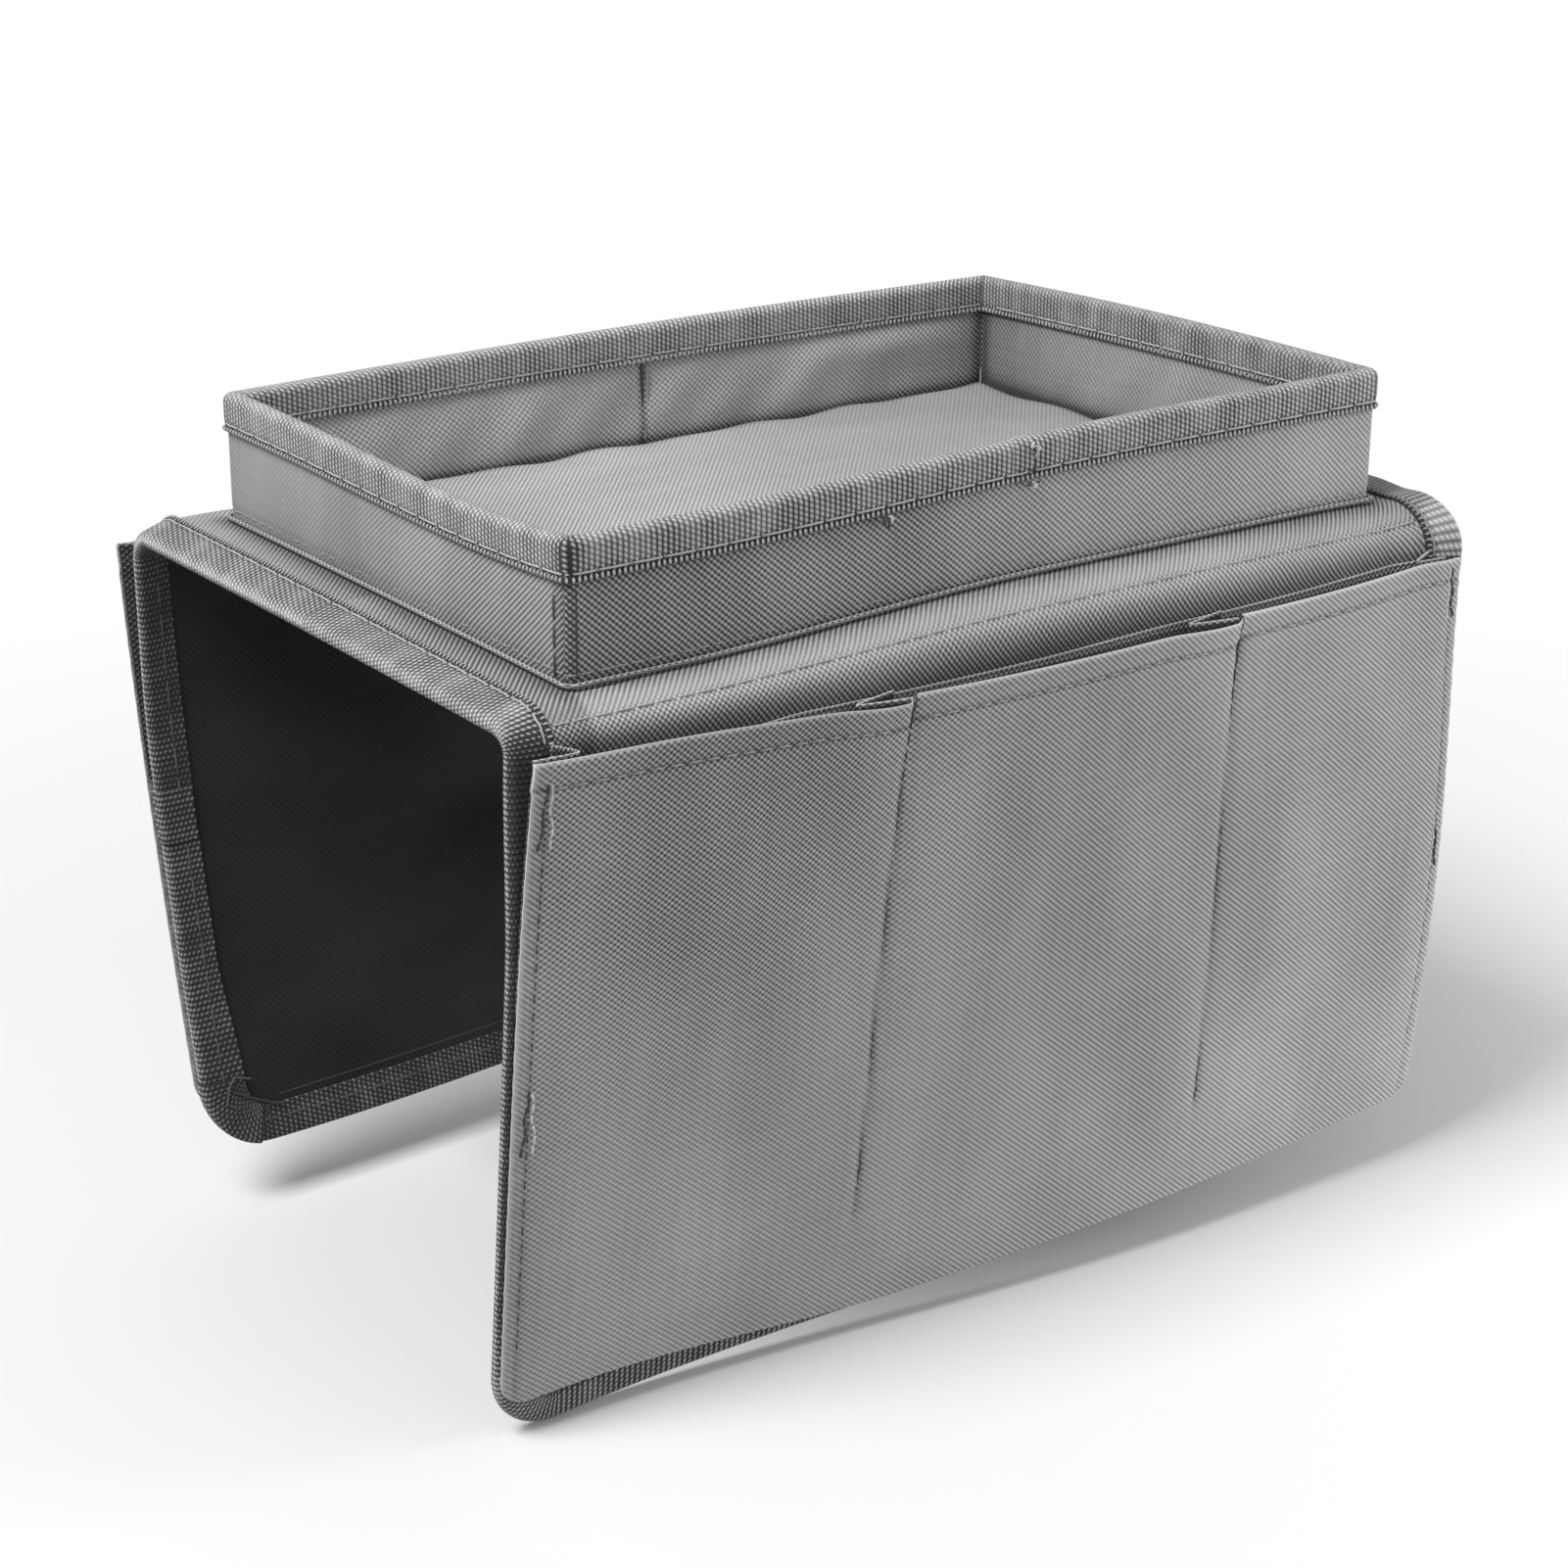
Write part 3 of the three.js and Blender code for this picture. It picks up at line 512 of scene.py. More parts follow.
def cover_tone(flap, x, run):
    """Painted shade down the roll, most of all at its middle, inside the pockets and left of the tray, and
    a painted shadow along the tray's foot. The strip before the tray is painted lighter towards the left
    and darker towards the right."""
    tray_edge = -tray_front if flap is front_flap else tray_back
    beside = np.maximum(np.maximum(tray_left - x, x - tray_right), 0)
    before = np.maximum(fold_y + fold_run + run - tray_edge, 0)
    # Painted shadow round the tray's foot.
    foot = swell(np.hypot(beside, before), 0, 5)
    down_roll = smooth(roll_seam_run, 2, run)
    roll_shade = (0.27 + 0.1 * swell(x, 28, 45)) * down_roll + 0.4 * smooth(1, 10, run)
    # Painted light and shade on the strip before the tray.
    strip = (0.09 - 0.2 * smooth(50, 140, x)) * (1 - down_roll) * (flap is front_flap)
    left, forward = left_strip(flap, x, run)
    return strip - roll_shade - 0.34 * foot - left * (0.06 + 0.2 * forward)


def cover_slant(flap, x, run):
    """One diagonal of the weave stands out on the top, and the other one on the roll, more and more
    towards its right end."""
    top = 0.85 * flap["side"]
    roll = 0.2 + 0.2 * smooth(-150, -40, x) + 0.45 * smooth(20, 120, x)
    return top + (roll - top) * smooth(roll_seam_run - 1, roll_seam_run + 1, run)


def cover_calm(flap, x, run):
    """The weave shows more than elsewhere, but less just behind the roll's stitches and left of the
    tray's back."""
    left, forward = left_strip(flap, x, run)
    return 0.4 * swell(run, roll_seam_run - 2, 3.5) + 0.5 * left * (1 - forward) - 0.15


def threads(name, middles, out, radius, material, taper=0.4):
    """Threads as six-sided tubes. middles holds the middle of each thread's rings, in mm, and out the
    way off the cloth at each. A ring lies at out * sin + aside * cos, and the end rings taper."""
    along = np.gradient(middles, axis=1)
    aside = np.cross(along, out)
    aside /= np.linalg.norm(aside, axis=-1, keepdims=True)
    outward = np.cross(aside, along)
    outward /= np.linalg.norm(outward, axis=-1, keepdims=True)
    number, rings = middles.shape[:2]
    width = np.full(rings, radius)
    width[[0, -1]] = radius * taper
    angles = np.arange(6)[:, None] * np.pi / 3
    ring = outward[:, :, None] * np.sin(angles) + aside[:, :, None] * np.cos(angles)
    points = middles[:, :, None] + ring * width[:, None, None]
    side = np.arange(6)
    next_side = (side + 1) % 6
    walls = [np.stack((side, next_side, 6 + next_side, 6 + side), -1) + 6 * r for r in range(rings - 1)]
    ends = [np.array(((3, 2, 1, 0), (5, 4, 3, 0))), np.array(((0, 1, 2, 3), (0, 3, 4, 5))) + 6 * (rings - 1)]
    corners = (np.arange(number)[:, None, None] * 6 * rings + np.concatenate(walls + ends)).reshape(-1, 4)
    piece = mesh_object(name, points.reshape(-1, 3) * mm, corners)
    dress(piece, material, "binding_tape")
    return piece


def read_along(line, places, *fields):
    """Fields such as directions, read at places measured in mm along a line of points."""
    reach = np.concatenate([[0], np.cumsum(np.linalg.norm(np.diff(line, axis=0), axis=1))])
    return [np.stack([np.interp(places, reach, field[:, k]) for k in range(3)], -1) for field in fields]


def stitches(name, line, out, stitch, material, dip=0.5):
    """Stitches of a given pitch, length and radius along a line. Each follows it for its length, and
    dips into the cloth at both ends by its place's eighth power."""
    pitch, length, radius = stitch
    whole = np.sum(np.linalg.norm(np.diff(line, axis=0), axis=1))
    starts = np.arange((pitch - length) / 2, whole - length, pitch)
    shares = np.array((0, 0.06, 0.5, 0.94, 1))
    out = np.broadcast_to(out, line.shape)
    middles, away = read_along(line, starts[:, None] + length * shares, line, out)
    away /= np.linalg.norm(away, axis=-1, keepdims=True)
    sink = dip * np.abs(2 * shares - 1) ** 8
    return threads(name, middles - away * sink[:, None], away, radius, material)


def woven_loops(name, line, inward, out, pitch, length, radius, material):
    """The loops of a woven edge: one short thread across the line at each pitch, arched like a half sine."""
    whole = np.sum(np.linalg.norm(np.diff(line, axis=0), axis=1))
    places = np.arange(pitch / 2, whole, pitch)
    middle, across, away = (field[:, None] for field in read_along(line, places, line, inward, out))
    shares = np.linspace(0, 1, 4)[:, None]
    middles = middle + across * length * (shares - 0.5) + away * 0.3 * np.sin(np.pi * shares)
    return threads(name, middles, np.broadcast_to(away, middles.shape), radius, material)


def loose_thread(name, ends, radius, material):
    """A loose end of thread along a Bezier curve of four points, in mm."""
    t = np.linspace(0, 1, 14)[:, None]
    weights = ((1 - t) ** 3, 3 * t * (1 - t) ** 2, 3 * t ** 2 * (1 - t), t ** 3)
    middles = sum(weight * np.array(end, float) for weight, end in zip(weights, ends))[None]
    away = np.broadcast_to(np.array((0.3, -0.8, 0.5)), middles.shape)
    return threads(name, middles, away, radius, material)


def thread_material(name, dark, light):
    """Spun thread: fine noise between two greys."""
    material = flat_material(name, (dark, dark, dark), (light, light, light), 2500, 0.05)
    material.node_tree.nodes["Principled BSDF"].inputs["Roughness"].default_value = 0.8
    return material


pale_thread = thread_material("pale_thread", 0.45, 0.75)
even_thread = thread_material("even_thread", 0.33, 0.55)
grey_thread = thread_material("grey_thread", 0.2, 0.4)
dark_thread = thread_material("dark_thread", 0.025, 0.08)
for flap in flaps:
    name = flap["name"]
    cover = flap_sheet(
        name + "_cover", flap, cover_lift, raw_edge_setback, middle_run, 2.0, cover_relief, tone=cover_tone,
        slant=cover_slant, calm=cover_calm,
    )
    bend_over_fold(cover)
    on_top = ["top_cover"] if flap is front_flap else []
    dress(cover, grey_cloth, "cloth", name + "_fold_cover", name + "_flap_cover", *on_top)
    seam_x = np.linspace(12 - half_length, half_length - 12, 200)
    seam, above = (saddle_place(flap, seam_x, roll_seam_run, cover_lift[1] + k) for k in (0, 1))
    row = stitches(name + "_roll_stitches", seam, above - seam, roll_stitch, even_thread, 0.4)
    bend_over_fold(row)


# Binding: stiff ribbed tape, folded over the raw edges of the lining and the cover and sewn through.
# It runs round the end of the top, over the fold, round the flap and back, one length for each half.
tape_thickness = 0.7
tape_flat_width = 2 * tape_width + 5
tape_lift = (-0.8, 3.9)
tape_round = 2.0
rib_pitch = 1.68
bead_pitch = 1.53
loop_length = 1.4
stitch_inset = 2.1
tape_stitch = (10.0, 9.4, 0.3)


def tape_material(name, dark, light, bump):
    """Ribs across the tape, each a chain of beads: height = ((1 + cos U)/2)^0.8 * (0.66 + 0.34 cos V), with
    V half a turn further on from rib to rib. Where the tape is calm, height nears a constant."""
    material, tree, cloth, parts = cloth_material(name)
    wander = stretched_noise(tree, cloth, (120, 120))
    rib_turn = wired(tree, "MULTIPLY", parts[0], 2 * math.pi / (rib_pitch * mm))
    rib_turn = wired(tree, "MULTIPLY_ADD", wander, 1.2, rib_turn)
    bead_turn = wired(tree, "MULTIPLY", parts[1], 2 * math.pi / (bead_pitch * mm))
    bead_turn = wired(tree, "MULTIPLY_ADD", rib_turn, 0.5, bead_turn)
    rib = wired(tree, "POWER", wired(tree, "MULTIPLY_ADD", wired(tree, "COSINE", rib_turn), 0.499, 0.5), 0.8)
    bead = wired(tree, "MULTIPLY_ADD", wired(tree, "COSINE", bead_turn), 0.34, 0.66)
    calm = point_field(tree, "calm")
    ribbed = wired(tree, "MULTIPLY", wired(tree, "MULTIPLY", rib, bead), wired(tree, "SUBTRACT", 1.0, calm))
    height = wired(tree, "MULTIPLY_ADD", calm, 0.36, ribbed)
    broad = stretched_noise(tree, cloth, (120, 60), 3)
    uneven = wired(tree, "MULTIPLY_ADD", broad, 0.4, -0.2)
    shaded_base(tree, wired(tree, "ADD", height, uneven), dark, light)
    into_shader(tree, wired(tree, "MULTIPLY_ADD", broad, -0.2, 0.95), "Roughness")
    raised(tree, height, bump)
    return material


def folded_tape(low, high, bend_radius):
    """The tape's section from its inner edge on the high side, round the fold, to its inner edge on the
    low side: distance in from the fold, and height, for its outer and its inner skin. The fold's two
    corners are quarter circles, and the row of stitches presses a groove into each side."""
    flat = np.linspace(tape_width, bend_radius, 12)[:-1]
    corner = np.radians(np.linspace(90, 180, 6))
    press = 0.3 * swell(flat, tape_width - stitch_inset, 0.8)
    skins = []
    for inset in (0, tape_thickness):
        radius = bend_radius - inset
        bend = bend_radius + radius * np.cos(corner)
        depth = np.concatenate([flat, bend, bend[::-1], flat[::-1]])
        upper = high - bend_radius + radius * np.sin(corner)
        lower = low + bend_radius - radius * np.sin(corner[::-1])
        top = np.full(len(flat), high - inset) - press
        bottom = np.full(len(flat), low + inset) + press[::-1]
        skins.append((depth, np.concatenate([top, upper, lower, bottom])))
    return skins


def tape_tone(depth, loops=1.0):
    """Painted shade under the loops of the woven edge and in the stitched groove, and a painted highlight
    on the fold.
    """
    under_loops = 0.65 * smooth(tape_width - 1.7, tape_width - 1.3, depth)
    groove = 0.2 * swell(depth, tape_width - stitch_inset, 0.6)
    return 0.12 * swell(depth, 0, 1.2) - (under_loops + groove) * loops


def saddle_edge(flap, spacing):
    """The edge of a saddle half from the middle of its left end, round the flap, to the middle of its
    right end: x and run of each station, the direction in from the edge, and the length so far."""
    straight = half_length - flap_corner
    top = flap["length"] - flap_corner
    down = np.arange(middle_run, top, spacing)
    angles = np.linspace(0, np.pi / 2, int(flap_corner * np.pi / 2 / spacing))
    across = np.linspace(-straight, straight, int(2 * straight / spacing))[1:-1]
    x = np.concatenate([np.full(len(down), -half_length), -straight - flap_corner * np.cos(angles)])
    run = np.concatenate([down, top + flap_corner * np.sin(angles)])
    in_x = np.concatenate([np.ones(len(down)), np.cos(angles)])
    in_run = np.concatenate([np.zeros(len(down)), -np.sin(angles)])
    bottom = np.full(len(across), flap["length"])
    x = np.concatenate([x, across, -x[::-1]])
    run = np.concatenate([run, bottom, run[::-1]])
    in_x = np.concatenate([in_x, np.zeros(len(across)), -in_x[::-1]])
    in_run = np.concatenate([in_run, -np.ones(len(across)), in_run[::-1]])
    steps = np.hypot(np.diff(x), np.diff(run))
    return x, run, in_x, in_run, np.concatenate([[0], np.cumsum(steps)])


def saddle_tape(name, flap, edge, low, high, outset=0.0, shade_step=0.0):
    """A length of folded tape along stations of the saddle's edge, its fold outset from it. It has painted
    shade and a smoother weave on the side towards the arm, painted shade on the outer side down the fold
    and below the pocket mouths, and it is pulled smooth at the right end of the front roll. The left end
    has a little painted shade on the top. The fold has painted shade towards the arm on the front half,
    and a painted highlight line on the back half. The back half's left end has more tape on the side
    towards the arm, low down, and more painted shade above its joint."""
    x, run, in_x, in_run, length = (part[None, :] for part in edge)
    sections = folded_tape(low, high, tape_round)
    middle = (low + high) / 2
    wider = 0.26 * smooth(120, 160, run) * (x < 0) * (flap is back_flap) * in_x
    skins = []
    for depth, height in sections:
        inward = depth[:, None] * np.where(height[:, None] > middle, 1, 1 + wider) - outset
        skins.append(saddle_place(flap, x + in_x * inward, run + in_run * inward, height[:, None]))
    depth, height = (part[:, None] for part in sections[0])
    across = np.linspace(0, tape_flat_width, len(depth))[:, None]
    above_middle = height - middle
    outer_side = above_middle > 0
    # 1 on the front half and 0 on the back half, whose painted light and shade differ.
    front_half = 1.0 * (flap is front_flap)
    dark_down = 0.7 - 0.5 * smooth(150, 185, run)
    # Painted shade on the outer side, down the fold and below the pocket mouths.
    under_pockets = dark_down * smooth(np.where(x < 0, -20, -1), 7, run) * smooth(-0.2, 1.4, above_middle)
    below_fold = np.where(front_half, smooth(1.0, 2.6, depth), smooth(0.2, -0.6, above_middle))
    above_joint = 0.05 * (1 - front_half) * (x < 0) * smooth(-10, 5, run) * (1 - smooth(84, 88, run))
    # A painted highlight along the back half's fold, and painted shade along the front half's.
    fold_highlight = 0.2 * swell(above_middle, 0.6, 0.7) * (depth < 1.6)
    on_fold = front_half * 0.3 * swell(depth, 0.5, 0.9) - (1 - front_half) * fold_highlight
    towards_arm = (shade_step + above_joint) * below_fold + on_fold
    on_top = 0.12 * (x < 0) * (1 - smooth(-24, -14, run)) * outer_side
    # The painted shade towards the arm, left off the front half's outer side.
    shade_towards_arm = np.where(outer_side & (front_half > 0), 0, towards_arm)
    tone = tape_tone(depth, outer_side) - under_pockets - on_top - shade_towards_arm
    pulled = 0.4 * (x > 0) * front_half * (1 - smooth(-2, 12, run))
    calm = np.maximum(pulled, np.where(outer_side, 0.25, 0.25 + 0.3 * below_fold))
    tape = woven_object(name, skins[1], skins[0], points_of(length, across), tone=tone, calm=calm)
    bend_over_fold(tape)
    dress(tape, ribbed_tape, "binding_tape")
    return tape


ribbed_tape = tape_material("ribbed_tape", (0.035, 0.035, 0.036), (0.92, 0.92, 0.925), 0.5)
# Painted shade on the side of the tape towards the arm.
arm_side_shade = 0.36
dim_thread = thread_material("dim_thread", 0.07, 0.14)
inner_stitch_inset = 4.2
for flap in flaps:
    name = flap["name"]
    edge = saddle_edge(flap, 1.9)
    x, run, in_x, in_run, length = edge
    binding = saddle_tape(name + "_binding", flap, edge, *tape_lift, shade_step=arm_side_shade)
    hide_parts(name + "_fold_binding_left", name + "_fold_binding_right", name + "_flap_binding")
    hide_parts("top_binding_left" if flap is front_flap else "top_binding_right")
    above_pockets = run < 2
    inner_thread = dark_thread if flap is front_flap else dim_thread
    for place, outwards, seen, thread in (
        ("left", 1, above_pockets & (x < 0), even_thread),
        ("right", 1, above_pockets & (x > 0), grey_thread),
        ("inner", -1, run > middle_run, inner_thread),
    ):
        lift = tape_lift[1] if outwards > 0 else tape_lift[0]
        inset = stitch_inset if outwards > 0 else inner_stitch_inset
        rows = {}
        for row, depth in (("loops", tape_width - loop_length / 2), ("stitches", tape_width - inset)):
            line, above, deeper = (
                saddle_place(flap, (x + in_x * reach)[seen], (run + in_run * reach)[seen], lift + off)
                for reach, off in ((depth, 0), (depth, outwards), (depth + 1, 0))
            )
            rows[row] = (line, deeper - line, above - line)
        line, deeper, above = rows["stitches"]
        bend_over_fold(stitches(f"{name}_binding_stitches_{place}", line, above, tape_stitch, thread))
        if outwards > 0:
            loops = f"{name}_binding_loops_{place}"
            bend_over_fold(woven_loops(loops, *rows["loops"], rib_pitch, loop_length, 0.34, thread))


# Joint and corner of the back half's tape: one end laps over the other at the left edge, and at the
# corner below the tape is folded over itself with its turned edges standing up. Beside the bottom
# tape the lining is pushed up into a narrow ridge.
back_edge = saddle_edge(back_flap, 1.0)
back_x, back_run = back_edge[:2]
lap = (back_x < -half_length + 0.01) & (back_run > 70) & (back_run < 86)
corner_fold = (back_x < -half_length + 16) & (back_run > 158) & (back_run < 180)
# The lap gets a little less of the painted shade towards the arm.
for name, part, low, high, outset, shade_step in (
    ("back_binding_lap", lap, -0.6, 0.6, 0.6, 0.05),
    ("back_binding_corner_fold", corner_fold, -0.6, 0.3, 0.4, 0),
):
    edge = [values[part] for values in back_edge]
    lifts = tape_lift[0] + low, tape_lift[1] + high
    saddle_tape(name, back_flap, edge, *lifts, outset, arm_side_shade - shade_step)
turned_edges = {
    "back_tape_turned_side": ((-145.0, -150.4, -152.7, -154.0, -150.6), (159.5, 157.8, 160.7, 164.9, 167.6)),
    "back_tape_turned_end": ((-151.6, -145.5, -139.8, -135.4), (162.1, 165.3, 167.9, 169.3)),
    "back_lining_ridge": (
        (-137.0, -121.0, -60.0, 0.0, 60.0, 140.0), (167.0, 166.6, 166.4, 166.4, 166.4, 166.4),
    ),
}
for name, (edge_x, edge_run) in turned_edges.items():
    steps = np.linspace(0, len(edge_x) - 1, 50)
    edge_x, edge_run = (np.interp(steps, np.arange(len(part)), part) for part in (edge_x, edge_run))
    lift = lining_lift[0] - 1.6 if "tape" in name else lining_lift[0] + 0.2
    line, above = (saddle_place(back_flap, edge_x, edge_run, lift - k)[None] for k in (0, 1))
    thread = dim_thread if "side" in name else dark_thread
    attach(threads(name, line, above - line, 0.34, thread), "back_flap")


# Pockets: a backing cloth on each flap, and in front of it one cloth for all its pockets, hemmed at
# the mouth, sewn down between the pockets and pleated at every pocket's left side.
backing_lift = (3.3, 3.8)
pocket_half = half_length - 0.5
pocket_corner = 8.0
hem_width = 7.4
divider_width = 2.0
side_seam_inset = 4.2
hem_stitch = (5.5, 4.2, 0.3)
divider_stitch = (5.2, 4.6, 0.24)
divider_tack = (2.7, 2.5, 0.27)
side_stitch = (4.6, 3.9, 0.19)
side_tack_pitch, side_tack_length = 3.2, 2.9
mouth_sag = 5.0
edge_mouth_depth, edge_decay = 8.2, 45
inner_mouth_depth, inner_foot_depth, edge_reach = 8.5, 3.0, 12
belly_depth = 1.8
gape_depth, gape_decay = 3, 15


def mouth_drop(x):
    """Pocket mouths: level with the fold's end at the sides and sagging between them, as a sine to a
    power."""
    across = np.clip((x + pocket_half) / (2 * pocket_half), 0, 1)
    return -1 + mouth_sag * np.sin(np.pi * across) ** 0.8


def mouth_edge(flap, x):
    """A pocket cloth's own upper edge: higher over the first pocket, dipping before each divider and at
    the right end."""
    lower = -2.2 * swell(x, -115, 45) + 2.2 * smooth(140, 161, x)
    for seam in pocket_bounds(flap, 0.0)[1:-1]:
        lower = lower + 1.7 * smooth(-30, -6, x - seam) * (1 - smooth(-1.0, 0.8, x - seam))
    return mouth_drop(x) + lower


def pocket_bottom(flap, x):
    """The pocket cloth's lower edge, which laps further over the tape towards the right."""
    return flap["length"] - tape_width - 0.6 + (flap["right_lap"] + 0.6) * smooth(10, 130, x + half_length)


def pocket_bounds(flap, drop):
    """Left end, dividing seams and right end of the pocket cloth at a drop."""
    down = np.clip(drop / flap["length"], 0, 1)
    seams = [from_left - pocket_half - slant * down for from_left, slant in flap["dividers"]]
    return [-pocket_half + 0 * down, *seams, pocket_half + 0 * down]


def pocket_depth(flap, x, drop):
    """How far the pocket cloth's outer face stands off the cover: an edge depth that decays down the
    flap to the flap's own, an inner depth that falls in proportion, a belly across each pocket and a
    gape at its mouth."""
    bounds = np.stack([np.broadcast_to(b, np.broadcast(x, drop).shape) for b in pocket_bounds(flap, drop)])
    last = len(flap["dividers"])
    pocket = sum((x > bounds[k + 1]).astype(int) for k in range(last))
    left, right = (np.take_along_axis(bounds, pocket[None] + end, 0)[0] for end in (0, 1))
    left = left + np.where(pocket == 0, 0, divider_width / 2)
    right = right - np.where(pocket == last, 0, divider_width / 2)
    across = np.clip((x - left) / (right - left), 0, 1)
    down = np.clip(drop / flap["length"], 0, 1)
    below_mouth = np.maximum(drop + 1, 0)
    edge = flap["edge_depth"] + (edge_mouth_depth - flap["edge_depth"]) * np.exp(-below_mouth / edge_decay)
    inner = inner_mouth_depth - (inner_mouth_depth - inner_foot_depth) * down
    from_edge = 1 - np.exp(-(pocket_half - np.abs(x)) / edge_reach)
    belly = belly_depth * np.sin(np.pi * across) ** 0.7 * (1 - down ** 3)
    gape = np.where(pocket < last, gape_depth * across ** 2 * np.exp(-below_mouth / gape_decay), 0)
    return edge + (inner - edge) * from_edge + belly + gape


def flap_place(flap, x, drop, lift):
    """A point off a flap without the bound ends' curl."""
    y = arm_half + lift - lean(flap, x, drop)
    z = -fold_radius - drop + rise(flap, x, drop)
    return points_of(x, flap["side"] * y, z)


def pocket_relief(flap, x, drop):
    """Fine shape of the pocket cloth: the stitched lines pull it in, with puckers between stitches, and
    slack shows as broad soft folds that fade towards the edges."""
    hem = drop - mouth_edge(flap, x)
    pull = -0.4 * swell(hem, hem_width, 1.0) * (1 + 0.35 * np.sin(x * 2 * np.pi / 5.5))
    for bound in pocket_bounds(flap, drop)[1:-1]:
        seam = swell(x, bound, 1.1) * (1 - smooth(164, 170, drop))
        pull = pull - 0.6 * seam - 0.12 * swell(x, bound, 6) * np.sin(drop * 2 * np.pi / 6.5)
    side_seam = swell(pocket_half - np.abs(x), side_seam_inset, 1.0)
    pull = pull - 0.35 * side_seam * smooth(4, 14, drop)
    edge = np.minimum(pocket_half - np.abs(x), pocket_bottom(flap, x) - drop)
    free = smooth(0, 45, edge) * smooth(0, 50, hem)
    folds = 1.3 * np.sin(x * 0.055 + drop * 0.03 + 0.5) + 0.6 * np.sin(x * 0.11 - drop * 0.045 + 2.0)
    folds = folds + 0.3 * np.sin(x * 0.19 + drop * 0.02 + 1.1)
    pucker = 0.14 * np.sin((x + drop) * 2 * np.pi / 7) * swell(edge, 2, 4)
    return pull + folds * free + pucker


def pocket_tone(flap, x, drop):
    """Painted highlights on the folded edges at the mouth and at the sides, painted shade in the stitched
    creases, painted shade at the upper left and painted light at the lower right, and broad soft painted
    shade and light where the cloth bellies in and out: each one's amount, then its middle and half-width
    in x and in drop."""
    hem = drop - mouth_edge(flap, x)
    beside = pocket_half - np.abs(x)
    # Painted highlights on the folded edges.
    fold = 0.3 * swell(hem, 0, 0.8) + 0.3 * swell(beside, 0, 0.8) * np.where(x < 0, 1, 0.4)
    side_crease = 0.12 * swell(beside, side_seam_inset, 0.6) * smooth(4, 14, drop)
    crease = 0.25 * swell(hem, hem_width, 0.7) + side_crease
    for bound in pocket_bounds(flap, drop)[1:-1]:
        crease = crease + 0.28 * swell(x, bound, 0.7) * (1 - smooth(164, 170, drop))
    upper_left = (1 - smooth(0, 110, drop)) * (1 - smooth(-150, 60, x)) * (0.3 + 0.7 * smooth(-150, -112, x))
    lower_right = smooth(110, 180, drop) * smooth(-60, 100, x)
    # Broad painted shade and light: amount, middle and half-width in x, middle and half-width in drop.
    painted_shading = (
        (-0.1, -158, 12, 130, 50), (-0.08, -82, 25, 85, 50), (0.05, -30, 22, 100, 90),
        (-0.08, 35, 28, 60, 70), (-0.12, 152, 24, 50, 90), (-0.07, -8, 34, 95, 50),
    )
    broad = sum(amount * swell(x, x0, dx) * swell(drop, drop0, dd) for amount, x0, dx, drop0, dd in painted_shading)
    return fold - crease - 0.28 * upper_left + 0.1 * lower_right + broad


def pocket_calm(flap, x, drop):
    """The weave shows less on the folded edges and low down at the left."""
    beside = pocket_half - np.abs(x)
    edges = 0.9 * np.maximum(swell(drop - mouth_edge(flap, x), 0, 0.6), swell(beside, 0, 0.9))
    return np.maximum(edges, 0.1 + 0.25 * smooth(40, 120, drop) * (1 - smooth(-60, 60, x)))


def pocket_slant(flap, x, drop):
    """One diagonal of the weave stands out more and more towards the right, and downwards, and in the
    strips outside the side seams."""
    strips = 0.9 * (1 - smooth(side_seam_inset - 0.6, side_seam_inset, pocket_half - np.abs(x)))
    return np.clip(0.1 + 0.8 * smooth(-120, 90, x) + 0.3 * smooth(60, 160, drop) + strips, 0, 0.9)


def pocket_surface(flap, x, drop, back=0.0):
    """The pocket cloth's outer face, or a place the given distance behind it."""
    lift = cover_lift[1] + pocket_depth(flap, x, drop) + pocket_relief(flap, x, drop) - back
    return flap_place(flap, x, drop, lift)


def backing_top(x):
    """The backing's upper edge lies just below the pocket mouths, so it shows from above. It is lower at
    the left."""
    return mouth_drop(x) + 1.5 - 0.8 * swell(x, 47, 30) + 2.0 * (1 - smooth(-100, -72, x))


def backing_tone(flap, x, drop):
    """A painted highlight on the folded upper edge and a paler painted line below it, and painted shade
    inside the pockets.
    """
    below = drop - backing_top(x)
    inside = 0.35 * smooth(0.3, 0.9, below) + 0.25 * smooth(3, 6, below)
    return 0.4 * swell(below, 0, 0.45) - inside + 0.5 * swell(below, 1.6, 0.4)


def panel_stitches(name, flap, x, drop, stitch, material):
    """A stitched line on the pocket cloth through places given by x and drop."""
    line = pocket_surface(flap, x, drop)
    sewn = stitches(f"{flap['name']}_{name}", line, (0.0, flap["side"], 0.0), stitch, material)
    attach(sewn, flap["name"] + "_flap")


